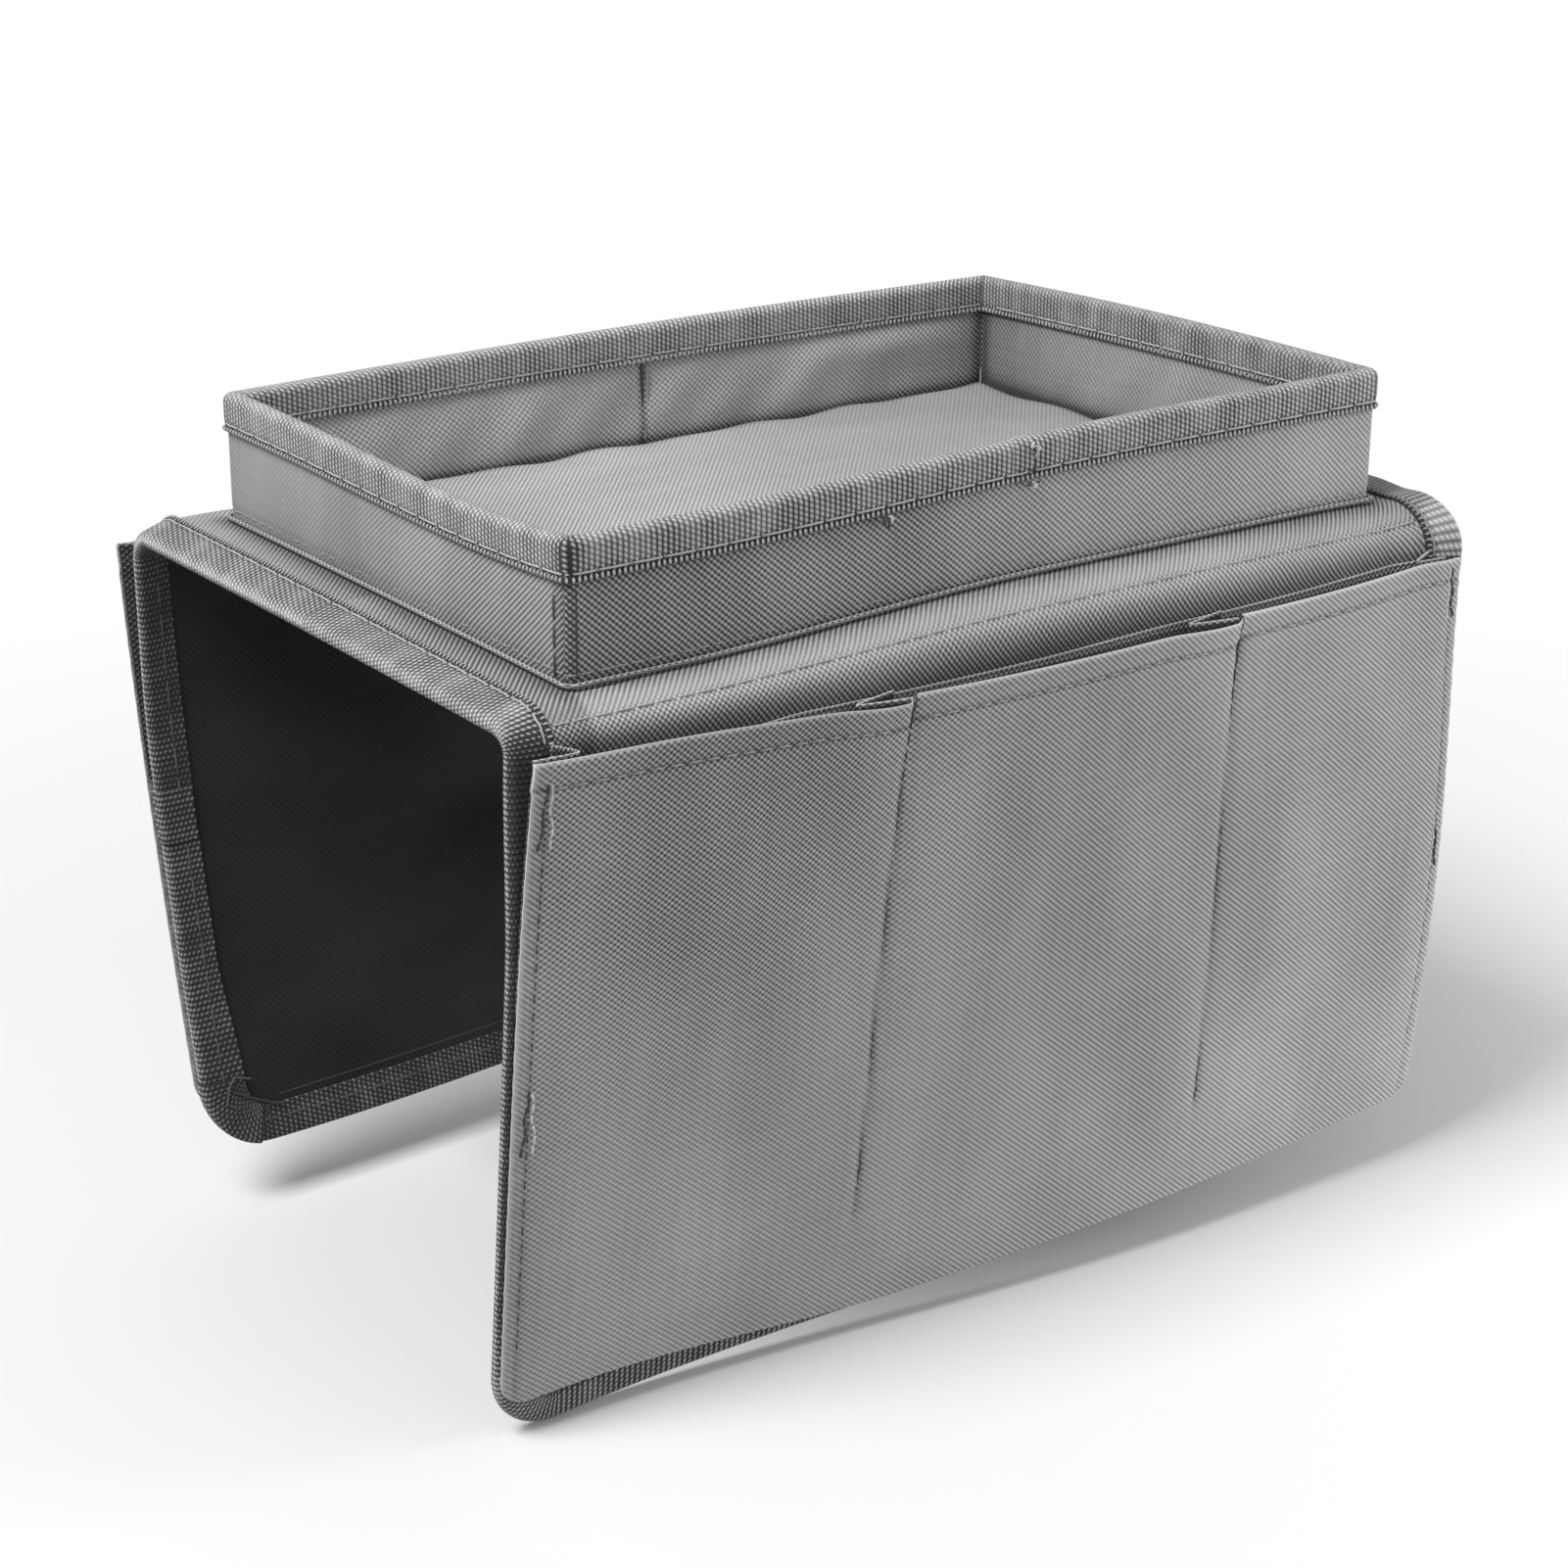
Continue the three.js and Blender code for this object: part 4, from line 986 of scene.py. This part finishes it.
for flap in flaps:
    name = flap["name"]
    backing = flap_sheet(
        name + "_pocket_lining", flap, backing_lift, tape_width + 0.3, backing_top, 1.6, crowding=1.7,
        tone=backing_tone,
    )
    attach(backing, name + "_flap")
    dress(backing, grey_cloth, "cloth", name + "_pocket_backing")

    straight = pocket_half - pocket_corner
    columns = np.concatenate([
        np.linspace(-pocket_half, -straight, 7)[:-1],
        np.linspace(-straight, straight, 178),
        np.linspace(straight, pocket_half, 7)[1:],
    ])[None, :]
    mouth = mouth_edge(flap, columns)
    end = pocket_bottom(flap, columns) - pocket_corner
    hem_rows = np.concatenate([(0, 0.3, 0.7, 1.2, 2.6, 4.2), hem_width + np.linspace(-1.8, 2, 8)])[:, None]
    below = np.linspace(0, 1, 104)[1:, None]
    start = mouth + hem_rows[-1]
    rows = np.concatenate([mouth + hem_rows, start + (end - start) * below])
    angles = np.radians(np.linspace(0, 86, 8))[1:, None]
    rows = np.concatenate([rows, end + pocket_corner * np.sin(angles)])
    narrow = np.concatenate([np.ones(len(rows) - len(angles)), np.cos(angles[:, 0])])[:, None]
    beyond = np.clip(np.abs(columns) - straight, 0, None)
    xs = np.sign(columns) * (np.minimum(np.abs(columns), straight) + beyond * narrow)
    hem = rows - mouth
    thick = cloth_thickness * (1 + smooth(hem_width + 1, hem_width, hem))
    round_fold = 0.5 * cloth_thickness * swell(hem, 0, 0.4)
    faces = [pocket_surface(flap, xs, rows, back) for back in (thick - round_fold, round_fold)]
    flat_map = points_of(xs, rows - rise(flap, xs, rows))
    fields = {"tone": pocket_tone, "calm": pocket_calm, "slant": pocket_slant}
    fields = {field: rule(flap, xs, rows) for field, rule in fields.items()}
    panel = woven_object(name + "_pocket_panel", *faces, flat_map, **fields)
    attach(panel, name + "_flap")
    dress(panel, grey_cloth, "cloth", name + "_pocket_cloth")

    down = np.linspace(0, 1, 60)
    limits = pocket_bounds(flap, 0.0)
    for number in range(len(limits) - 1):
        x = limits[number] + 5 + (limits[number + 1] - limits[number] - 8) * down
        drop = mouth_edge(flap, x) + hem_width
        panel_stitches(f"hem_stitches_{number + 1}", flap, x, drop, hem_stitch, even_thread)
    # The dividing seams' stitches and tacks use dark thread as painted shade for their creases and needle
    # holes.
    for number in range(1, len(limits) - 1):
        drop = 3 + 163 * down
        x = pocket_bounds(flap, drop)[number]
        panel_stitches(f"divider_stitches_{number}", flap, x, drop, divider_stitch, dark_thread)
        for place, first, span in (("mouth", 3.0, 13.0), ("foot", 146.0, 20.0)):
            drop = first + span * down
            x = pocket_bounds(flap, drop)[number] + 0.35 * np.sin(down * 9)
            panel_stitches(f"divider_tack_{place}_{number}", flap, x, drop, divider_tack, dark_thread)
    lowest = flap["length"] - 24
    for side, sign in (("left", -1), ("right", 1)):
        drop = 26 + (lowest - 26) * down
        x = sign * (pocket_half - side_seam_inset) + 0 * drop
        panel_stitches(f"side_stitches_{side}", flap, x, drop, side_stitch, dark_thread)
        for place, first in (("upper", 4.0), ("lower", 92.0)):
            drop = first + 20 * down
            for line, first_inset, last_inset, radius, thread in (
                ("inner", 4.8, 6.2, 0.4, pale_thread), ("outer", 3.9, 2.7, 0.45, dark_thread),
            ):
                wave = 0.35 * np.sin(4 * np.pi * down)
                x = sign * (pocket_half - first_inset - (last_inset - first_inset) * down - wave)
                tack = (side_tack_pitch, side_tack_length, radius)
                panel_stitches(f"side_tack_{side}_{place}_{line}", flap, x, drop, tack, thread)


# Pleats: at each side of a pocket a strip of the cloth folds back on itself like a bellows, from the
# pocket cloth in to a crease and out again to the flap, so that the pocket can open.
pleat_width = 15.0
side_reach = 9.0
side_pleat_drop, divider_pleat_drop = 68, 138


def pleat(flap, bound, inset, direction, first, last, foot, foot_reach, sag, climb):
    """A V of cloth with a round crease. q runs from -1 at the flap to 1 at the pocket cloth: the lift
    follows q, and the reach in is the pleat's width times 1 - sqrt(q*q + c), scaled to close at the ends.
    The leaf on the flap ends at foot_reach. At the mouth the crease sags and that leaf climbs."""
    drops = first + (last - first) * np.linspace(0, 1, 40)[:, None] ** 1.8
    x = pocket_bounds(flap, drops)[bound] + inset
    outer = cover_lift[1] + pocket_depth(flap, x, drops) + pocket_relief(flap, x, drops) - 1.3
    foot = foot + flare(flap, x + direction * foot_reach, drops)
    middle, half = (outer + foot) / 2, (outer - foot) / 2
    q = np.linspace(-1, 1, 25)[None, :]
    crease = 0.02
    hump = (math.sqrt(1 + crease) - np.sqrt(q * q + crease)) / (math.sqrt(1 + crease) - math.sqrt(crease))
    reach = pleat_width * hump + foot_reach * np.maximum(-q, 0)
    lift = middle + (half - cloth_thickness / 2) * q
    drops = drops + (sag * hump - climb * np.maximum(-q, 0)) * (1 - smooth(first, first + 30, drops))
    slope_x, slope_lift = np.gradient(reach[0])[None, :], np.gradient(lift, axis=1)
    size = np.hypot(slope_x, slope_lift)
    skins = []
    for side in (-0.5, 0.5):
        offset_x = -slope_lift / size * side * cloth_thickness
        offset_lift = slope_x / size * side * cloth_thickness
        skins.append(flap_place(flap, x + direction * (reach + offset_x), drops, lift + offset_lift))
    unfolded = np.broadcast_to(q * pleat_width, lift.shape)
    below = drops - drops[0]
    # Painted highlight on the pleat's top edge and painted shade below it.
    tone = 0.35 * swell(below, 0, 0.35) - 0.65 * smooth(0.15, 1.3, below)
    return skins, points_of(unfolded, drops), tone


for flap in flaps:
    name = flap["name"]
    ends = np.array((-pocket_half, pocket_half))
    left_top, right_top = (float(top) - 0.5 for top in mouth_edge(flap, ends))
    side_foot = cover_lift[1] + 0.4
    seams = pocket_bounds(flap, 0.0)
    strips = [
        ("left", 0, 0.3, 1, left_top, side_pleat_drop, side_foot, side_reach, 1.7, 0.6),
        ("right", -1, -0.3, -1, right_top, side_pleat_drop, side_foot, side_reach, 0.0, 2.6),
    ]
    for number in range(1, len(seams) - 1):
        first = float(mouth_drop(seams[number] - 1)) + 0.3
        foot = backing_lift[1] + 0.3
        strips.append((f"divider_{number}", number, -1, -1, first, divider_pleat_drop, foot, 0.0, 0.0, 0.0))
    for place, *sewn, first, last, foot, foot_reach, sag, climb in strips:
        skins, flat_map, tone = pleat(flap, *sewn, first, last, foot, foot_reach, sag, climb)
        strip = woven_object(f"{name}_bellows_{place}", *skins, flat_map, tone=tone)
        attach(strip, name + "_flap")
        dress(strip, grey_cloth, "cloth", f"{name}_pleat_{place}")


# Tray walls: grey cloth outside and inside, round four boards. The outer cloth is sewn to the top at
# its foot; the inner one balloons a little between its seams.
tray_corner = 1.6
tray_base = 3.0
tray_height = 38.0
wall_thickness = 3.6
tray_middle = np.array(((tray_left + tray_right) / 2, (tray_front + tray_back) / 2))
tray_half = np.array(((tray_right - tray_left) / 2, (tray_back - tray_front) / 2))


def tray_stations(spacing=2.0):
    """Stations round the tray, anticlockwise from the right back corner: its corner number, its angle on
    the corner's arc, and how far along the side that follows it is, from 0 to 1."""
    sides = []
    for number in range(4):
        share = np.linspace(0, 1, int(2 * tray_half[number % 2] / spacing))[1:-1]
        turned = np.append(np.arange(7) / 6, np.ones(len(share)))
        along = np.append(np.zeros(7), share)
        sides.append((np.full(len(along), number), np.pi / 2 * (number + turned), along))
    return [np.concatenate(part) for part in zip(*sides)]


def rim_arch(x, y):
    """The walls' tops rise towards the right along the front, sag at the middle of the left side and
    swell at the middle of the right side and of the back."""
    forward = np.clip((tray_back - y) / (tray_back - tray_front), 0, 1)
    front = (-0.2 + 4.2 * smooth(-100, 60, x)) * forward
    back = 1.5 * np.sin(np.pi * np.clip((x - tray_left) / (tray_right - tray_left), 0, 1)) * (1 - forward)
    left = -2.6 * np.sin(np.pi * forward ** 2) * (1 - smooth(tray_left, -70, x))
    right = 1.5 * np.sin(np.pi * forward) * smooth(70, tray_right, x)
    return front + back + left + right


def tray_place(stations, offset, height):
    """A point round the tray: offset outwards from the walls' outer face, and height above their foot.
    Corners keep a round of the tray's corner radius plus the offset."""
    corner, angle, along = stations
    radius = np.maximum(tray_corner + offset, 0.5)

    def centre(number):
        sign_x = np.where((number == 0) | (number == 3), 1, -1)
        sign_y = np.where(number < 2, 1, -1)
        return sign_x * (tray_half[0] + offset - radius), sign_y * (tray_half[1] + offset - radius)

    here, there = centre(corner), centre((corner + 1) % 4)
    x = tray_middle[0] + here[0] + (there[0] - here[0]) * along + radius * np.cos(angle)
    y = tray_middle[1] + here[1] + (there[1] - here[1]) * along + radius * np.sin(angle)
    share = np.clip(height / tray_height, 0, 1)
    z = tray_base + height + arch(x, y) * (1 - share) + rim_arch(x, y) * share
    return points_of(x, y, z)


stations = tray_stations()
columns_round = [part[None, :] for part in stations]
ring_points = tray_place(stations, 0, 0)
ring_steps = np.linalg.norm(np.roll(ring_points, -1, axis=0) - ring_points, axis=1)
ring_length = np.concatenate([[0], np.cumsum(ring_steps)])
back_seam = 0.497
wall_seam_height = 3.6
foot_stitch = (5.0, 4.2, 0.24)
corner_stitch = (7.5, 6.6, 0.55)
far_side = stations[0] == 0


def creased_corner(corner, along):
    """Distance in mm from the nearer of the far right and the near left corner, along a tray side."""
    return np.where(corner % 2 == 0, along, 1 - along) * 2 * tray_half[corner % 2]


def outer_swell(height, stations):
    """The outer cloth stands out a little between the corners, with ripples above its foot."""
    along = stations[2]
    share = np.clip(height / (tray_height - tape_width), 0, 1)
    belly = 0.9 * np.sin(np.pi * along) ** 0.6 * np.sin(np.pi * share)
    ripple = 0.2 * np.sin(ring_length[:-1] * 0.35) * swell(height, 4, 5)
    pull = -0.3 * swell(height, wall_seam_height, 0.9)
    return belly + ripple * np.sin(np.pi * along) + pull


def inner_swell(height, stations):
    """The inner cloth balloons inwards in lobes between the corners and the seam in the back wall, with a
    fold near the back wall's right end."""
    along = stations[2]
    share = np.where(along < back_seam, along / back_seam, (1 - along) / (1 - back_seam))
    lobe = np.sin(np.pi * np.where(far_side, share, along))
    share = np.clip(height / (tray_height - tape_width), 0, 1)
    wave = 0.8 * np.sin(ring_length[:-1] * 0.11) + 0.5 * np.sin(ring_length[:-1] * 0.23 + height * 0.2)
    balloon = 2.4 * np.clip(lobe, 0, 1) ** 0.6 + wave * np.sin(np.pi * along)
    fold = far_side * swell(along, 0.14, 0.1) * (1.6 * swell(height, 21, 5) - 1.2 * swell(height, 9, 6))
    return -balloon * np.sin(np.pi * share ** 0.8) - fold


def outer_tone(height, stations):
    """Painted shade at the foot, under the tape, in the strip turned round the near left corner, on the
    left wall, and along the near wall, most at its left end.
    """
    corner, along = stations[::2]
    turned = (corner == 1) * smooth(1 - 4.6 / (2 * tray_half[1]), 1 - 4.0 / (2 * tray_half[1]), along)
    turned = turned + (corner == 2) * (along == 0)
    under_tape = smooth(tray_height - tape_width - 2, tray_height - tape_width, height)
    near_left = (corner == 2) * (1 - smooth(0, 0.9, along))
    beside = -0.18 * turned - 0.25 * near_left - 0.14 * (corner == 1)
    return beside - 0.34 * np.exp(-height / 2.2) - 0.2 * under_tape


def inner_tone(height, stations):
    """Painted shade at the floor, under the tape, in the corners, broadly at two of them, along the seam in
    the back wall and on the right wall, and painted light on the back wall."""
    corner, along = stations[::2]
    length = 2 * tray_half[corner % 2]
    folded = creased_corner(corner, along)
    corner_dark = np.exp(-along * length / 4) + np.exp(-(1 - along) * length / 4)
    seam_dark = np.where(far_side, swell(along * length, back_seam * length, 1.2), 0)
    under_tape = smooth(tray_height - tape_width - 2, tray_height - tape_width, height)
    at_floor = 0.45 * np.exp(-np.maximum(height - 3.5, 0) / 1.8)
    right_side = (corner == 3) * (0.05 + 0.15 * smooth(0, 0.6, along))
    dark = at_floor + 0.2 * under_tape + 0.15 * corner_dark + 0.4 * seam_dark + right_side
    return 0.18 * far_side - dark - 0.3 * swell(folded, 0, 2.5) - 0.14 * np.exp(-folded / 14)


def wall_sheet(name, foot, outer_offset, bulge, tone, weave_start, weave_way):
    """A ring of cloth from its foot up to the walls' top, under the tape. Its weave is laid out both
    ways from a start on the ring, and up or down."""
    tape_foot = tray_height - tape_width
    rows = np.append(np.linspace(foot, tape_foot, 18), (tray_height - 6, tray_height - 1.2))[:, None]
    faces = []
    for offset in (outer_offset - cloth_thickness, outer_offset):
        faces.append(tray_place(columns_round, offset + bulge(rows, columns_round), rows))
    flat_map = points_of(np.abs(ring_length[None, :] - weave_start), weave_way * rows)
    corner, along = columns_round[::2]
    sides = [corner == 1, corner == 2, corner == 3]
    calm = np.select(sides, [0.85 * (1 - smooth(0.1, 0.9, along)), 0.3 * along - 0.2, 0.5], 0.0)
    slant = np.select(sides, [0.85, 0.45 + 0.3 * along, 0.6], 0.4)
    fields = {"tone": tone(rows, columns_round), "calm": calm, "slant": slant}
    return woven_object(name, *faces, flat_map, ring=True, **fields)


near_corner = ring_length[np.argmax(stations[0] == 2)]
outer_wall = wall_sheet("tray_outer_wall", 0.3, 0.0, outer_swell, outer_tone, near_corner, -1)
inner_face = -wall_thickness + cloth_thickness
inner_wall = wall_sheet("tray_inner_wall", 2.2, inner_face, inner_swell, inner_tone, 0, 1)
for wall, node in ((outer_wall, "tray_outer_cloth"), (inner_wall, "tray_inner_cloth")):
    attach(wall, "saddle")
    dress(wall, grey_cloth, "cloth", node)


def wall_line(offset, height, number=None, along=None):
    """Places on the tray's walls and the ways off them: all round, or at one place along one side."""
    if number is None:
        at = closed_ring
    else:
        at = [np.broadcast_to(a, np.shape(height)) for a in (number, np.pi / 2 * (number + 1), along)]
    line, off = (tray_place(at, offset + k, height) for k in (0, 1))
    return line, off - line


closed_ring = [np.append(a, a[0]) for a in stations]
foot_stitches = stitches("tray_foot_stitches", *wall_line(0.0, wall_seam_height), foot_stitch, grey_thread)
corner_heights = np.linspace(1.5, tray_height - tape_width, 30)
left_length = 2 * tray_half[1]
corner_seam_line = wall_line(0.1, corner_heights, 1, 1 - 4.3 / left_length)
corner_seam = stitches("tray_corner_stitches", *corner_seam_line, corner_stitch, dark_thread)
# A dark thread down the near left corner: painted shade in the crease there.
corner_fold_line = wall_line(0.0, corner_heights, 2, 0.004)
corner_fold = stitches("tray_corner_fold", *corner_fold_line, (26, 25.6, 0.3), dark_thread)
seam_heights = np.linspace(3, tray_height - tape_width, 30)
seam_wander = back_seam + 0.0035 * np.sin(seam_heights * 0.25)
# A dark thread along the back wall's seam is painted shade in its slit; the grey one beside it is the slit's
# edge.
slit_line = wall_line(0.1 - wall_thickness, seam_heights, 0, seam_wander)
slit = stitches("tray_back_seam_slit", *slit_line, (24.5, 24, 0.55), dark_thread)
slit_edge_line = wall_line(-0.5 - wall_thickness, seam_heights, 0, seam_wander - 0.006)
slit_edge = stitches("tray_back_seam_edge", *slit_edge_line, (24.5, 24, 0.45), grey_thread)
loop_curve = ((136.6, 80.6, 11), (135.6, 79.5, 6.5), (136.8, 79.2, 5.4), (133.0, 80.8, 5.8))
corner_loop = loose_thread("tray_corner_loop", loop_curve, 0.3, even_thread)
for piece in (foot_stitches, corner_seam, corner_fold, slit, slit_edge, corner_loop):
    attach(piece, "saddle")

board_depth = 2.0
for number, side in enumerate(("back", "left", "front", "right")):
    share = np.linspace(0.012, 0.988, 60)[None, :]
    line = np.broadcast_arrays(number, np.pi / 2 * (number + 1), share)
    heights = np.linspace(0.5, tray_height - 1.5, 6)[:, None]
    faces = [tray_place(line, offset, heights) for offset in (-0.8 - board_depth, -0.8)]
    board = woven_object(f"tray_wall_board_{number}", *faces, points_of(share * 200, heights))
    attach(board, "saddle")
    dress(board, grey_board, "board", "tray_board_" + side)


# Tray floor: a board, and the cloth over it, sewn to the inner walls all round. The seam draws the
# cloth into small waves along its edges.
floor_inset = wall_thickness + 0.6
floor_x, floor_y = np.meshgrid(
    np.linspace(tray_left + floor_inset, tray_right - floor_inset, 136),
    np.linspace(tray_front + floor_inset, tray_back - floor_inset, 88),
)
from_ends = np.minimum(floor_x - tray_left, tray_right - floor_x)
from_sides = np.minimum(floor_y - tray_front, tray_back - floor_y)
from_wall = np.minimum(from_ends, from_sides) - floor_inset
waves = 0.4 * np.sin((floor_x + 0.7 * floor_y) * 0.2) + 0.4 * np.sin((floor_x - floor_y) * 0.13 + 1)
floor_rise = 0.9 + waves * np.exp(-from_wall / 12) - 0.8 * np.exp(-from_wall / 2.5)
# Painted light and shade on the floor cloth: lighter in the middle than at the left end, darker towards the
# right, and painted shade along its edges at the walls.
floor_tone = 0.1 * smooth(-110, -50, floor_x) - 0.12 * smooth(-10, 90, floor_x) - 0.04
floor_tone = floor_tone - 0.55 * np.exp(-from_wall / 1.3)
floor_calm = 0.6 * smooth(-60, 90, floor_x)
floor_arch = np.maximum(arch(floor_x, floor_y), 0)
cloth_z = tray_base + 2.2 + floor_arch + floor_rise
floor_faces = [points_of(floor_x, floor_y, cloth_z + up) for up in (0, cloth_thickness)]
floor_fields = {"tone": floor_tone, "calm": floor_calm, "slant": 0.7}
floor_cloth = woven_object("tray_floor_sheet", *floor_faces, points_of(floor_y, floor_x), **floor_fields)
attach(floor_cloth, "saddle")
dress(floor_cloth, grey_cloth, "cloth", "tray_floor_cloth")
floor_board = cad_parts["tray_floor_board"]
floor_board.data.materials.clear()
floor_board.data.materials.append(grey_board)


# Rim: the same ribbed tape, folded over the walls' tops and sewn through them with long stitches. The
# loops of its woven edge show below it. Its ends meet on the front wall, one lapped over the other.
rim_low = -wall_thickness - 1.0
rim_high = 1.0
rim_round = 2.6


def rim_tape(name, places, length, low, high, outset, ring):
    """Folded tape over the walls' tops, along stations round the tray."""
    sections = folded_tape(low, high, rim_round)
    columns = [part[None, :] for part in places]
    top = tray_height + outset
    skins = [tray_place(columns, height[:, None], top - depth[:, None]) for depth, height in sections]
    depth, height = (part[:, None] for part in sections[0])
    flat_map = points_of(length[None, :], np.linspace(0, tape_flat_width, len(depth))[:, None])
    far, left, near, right = (columns[0] == number for number in range(4))
    calm = 0.25 + 0.2 * right - 0.15 * far
    outside = height > (low + high) / 2
    # Painted light and shade: each side of the rim a little lighter or darker, painted shade at the creased
    # corners, and less painted shade under the loops inside.
    by_side = 0.04 * far - 0.05 * left - 0.08 * near - 0.12 * right
    folded = swell(creased_corner(columns[0], columns[2]), 0, 1.5)
    tone = tape_tone(depth, np.where(outside, 1.0, 0.4)) + by_side - 0.16 * folded
    tape = woven_object(name, skins[1], skins[0], flat_map, ring=ring, tone=tone, calm=calm)
    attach(tape, "saddle")
    dress(tape, ribbed_tape, "binding_tape")
    return tape


rim = rim_tape("tray_rim_tape", stations, ring_length, rim_low, rim_high, 0, True)
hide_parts("tray_rim_binding")
joint_x = np.linspace(4.5, 11.0, 8)
joint_share = (joint_x - tray_left) / (tray_right - tray_left)
joint_places = (np.full(8, 2), np.full(8, 1.5 * np.pi), joint_share)
rim_tape("tray_rim_tape_end", joint_places, joint_x, rim_low - 0.35, rim_high + 0.35, 0.35, False)
for face, offset, outwards in (("outer", rim_high, 1), ("inner", rim_low, -1)):
    height = tray_height - tape_width + loop_length / 2
    line, off = wall_line(offset, height)
    below = tray_place(closed_ring, offset, height - 1) - line
    edge = f"tray_rim_loops_{face}", line, below, outwards * off
    loops = woven_loops(*edge, rib_pitch, loop_length, 0.42, even_thread)
    line, off = wall_line(offset, tray_height - tape_width + stitch_inset)
    seam = stitches(f"tray_rim_stitches_{face}", line, outwards * off, tape_stitch, even_thread)
    for row in (loops, seam):
        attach(row, "saddle")
knot_y = tray_front - rim_high - 0.4
knots = (
    (-39.2, 30.6, ((-2.6, -2.2, dark_thread), (2.2, -1.8, pale_thread), (0.6, -3.4, dark_thread))),
    (10.0, 32.2, ((-3.2, -0.8, dark_thread), (3.0, -0.2, dark_thread), (1.6, -1.8, pale_thread))),
    (10.5, 42.0, ((-2.4, 1.2, pale_thread), (2.2, -1.6, pale_thread), (0.8, -3.2, even_thread))),
)
for place, (knot_x, knot_z, ends) in enumerate(knots):
    for number, (reach, fall, thread) in enumerate(ends):
        bends = ((0, 0, 0), (reach, -0.8, -0.5), (reach * 0.6, -1.0, fall / 2), (reach * 0.2, -0.4, fall))
        curve = np.array((knot_x, knot_y, knot_z)) + np.array(bends)
        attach(loose_thread(f"tray_rim_knot_{place + 1}_{number + 1}", curve, 0.38, thread), "saddle")


# Foot seam: the outer cloth's edge is turned and sewn to the top, which leaves a narrow rolled bead
# round the tray, a stitch line above it and a shadow below, which the cover's tone also paints. The
# bead itself has painted shade, most underneath, and is lighter on top.
bead_radius = 0.7
bead_turns = np.radians(np.arange(0, 361, 30))[:, None]
bead_offset, bead_height = 1.1, 1.3
bead_skins = []
for radius in (bead_radius * 0.5, bead_radius):
    out, up = radius * np.cos(bead_turns), radius * np.sin(bead_turns)
    bead_skins.append(tray_place(columns_round, bead_offset + out, bead_height + up))
bead_map = points_of(ring_length[None, :], np.degrees(bead_turns) / 60)
# Painted shade on the bead, lighter on its top than underneath.
bead_tone = -0.28 + 0.25 * np.sin(bead_turns) + 0 * ring_length[None, :-1]
bead = woven_object("tray_foot_bead", *bead_skins, bead_map, ring=True, tone=bead_tone)
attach(bead, "saddle")
dress(bead, grey_cloth, "cloth", "tray_seam_bead")
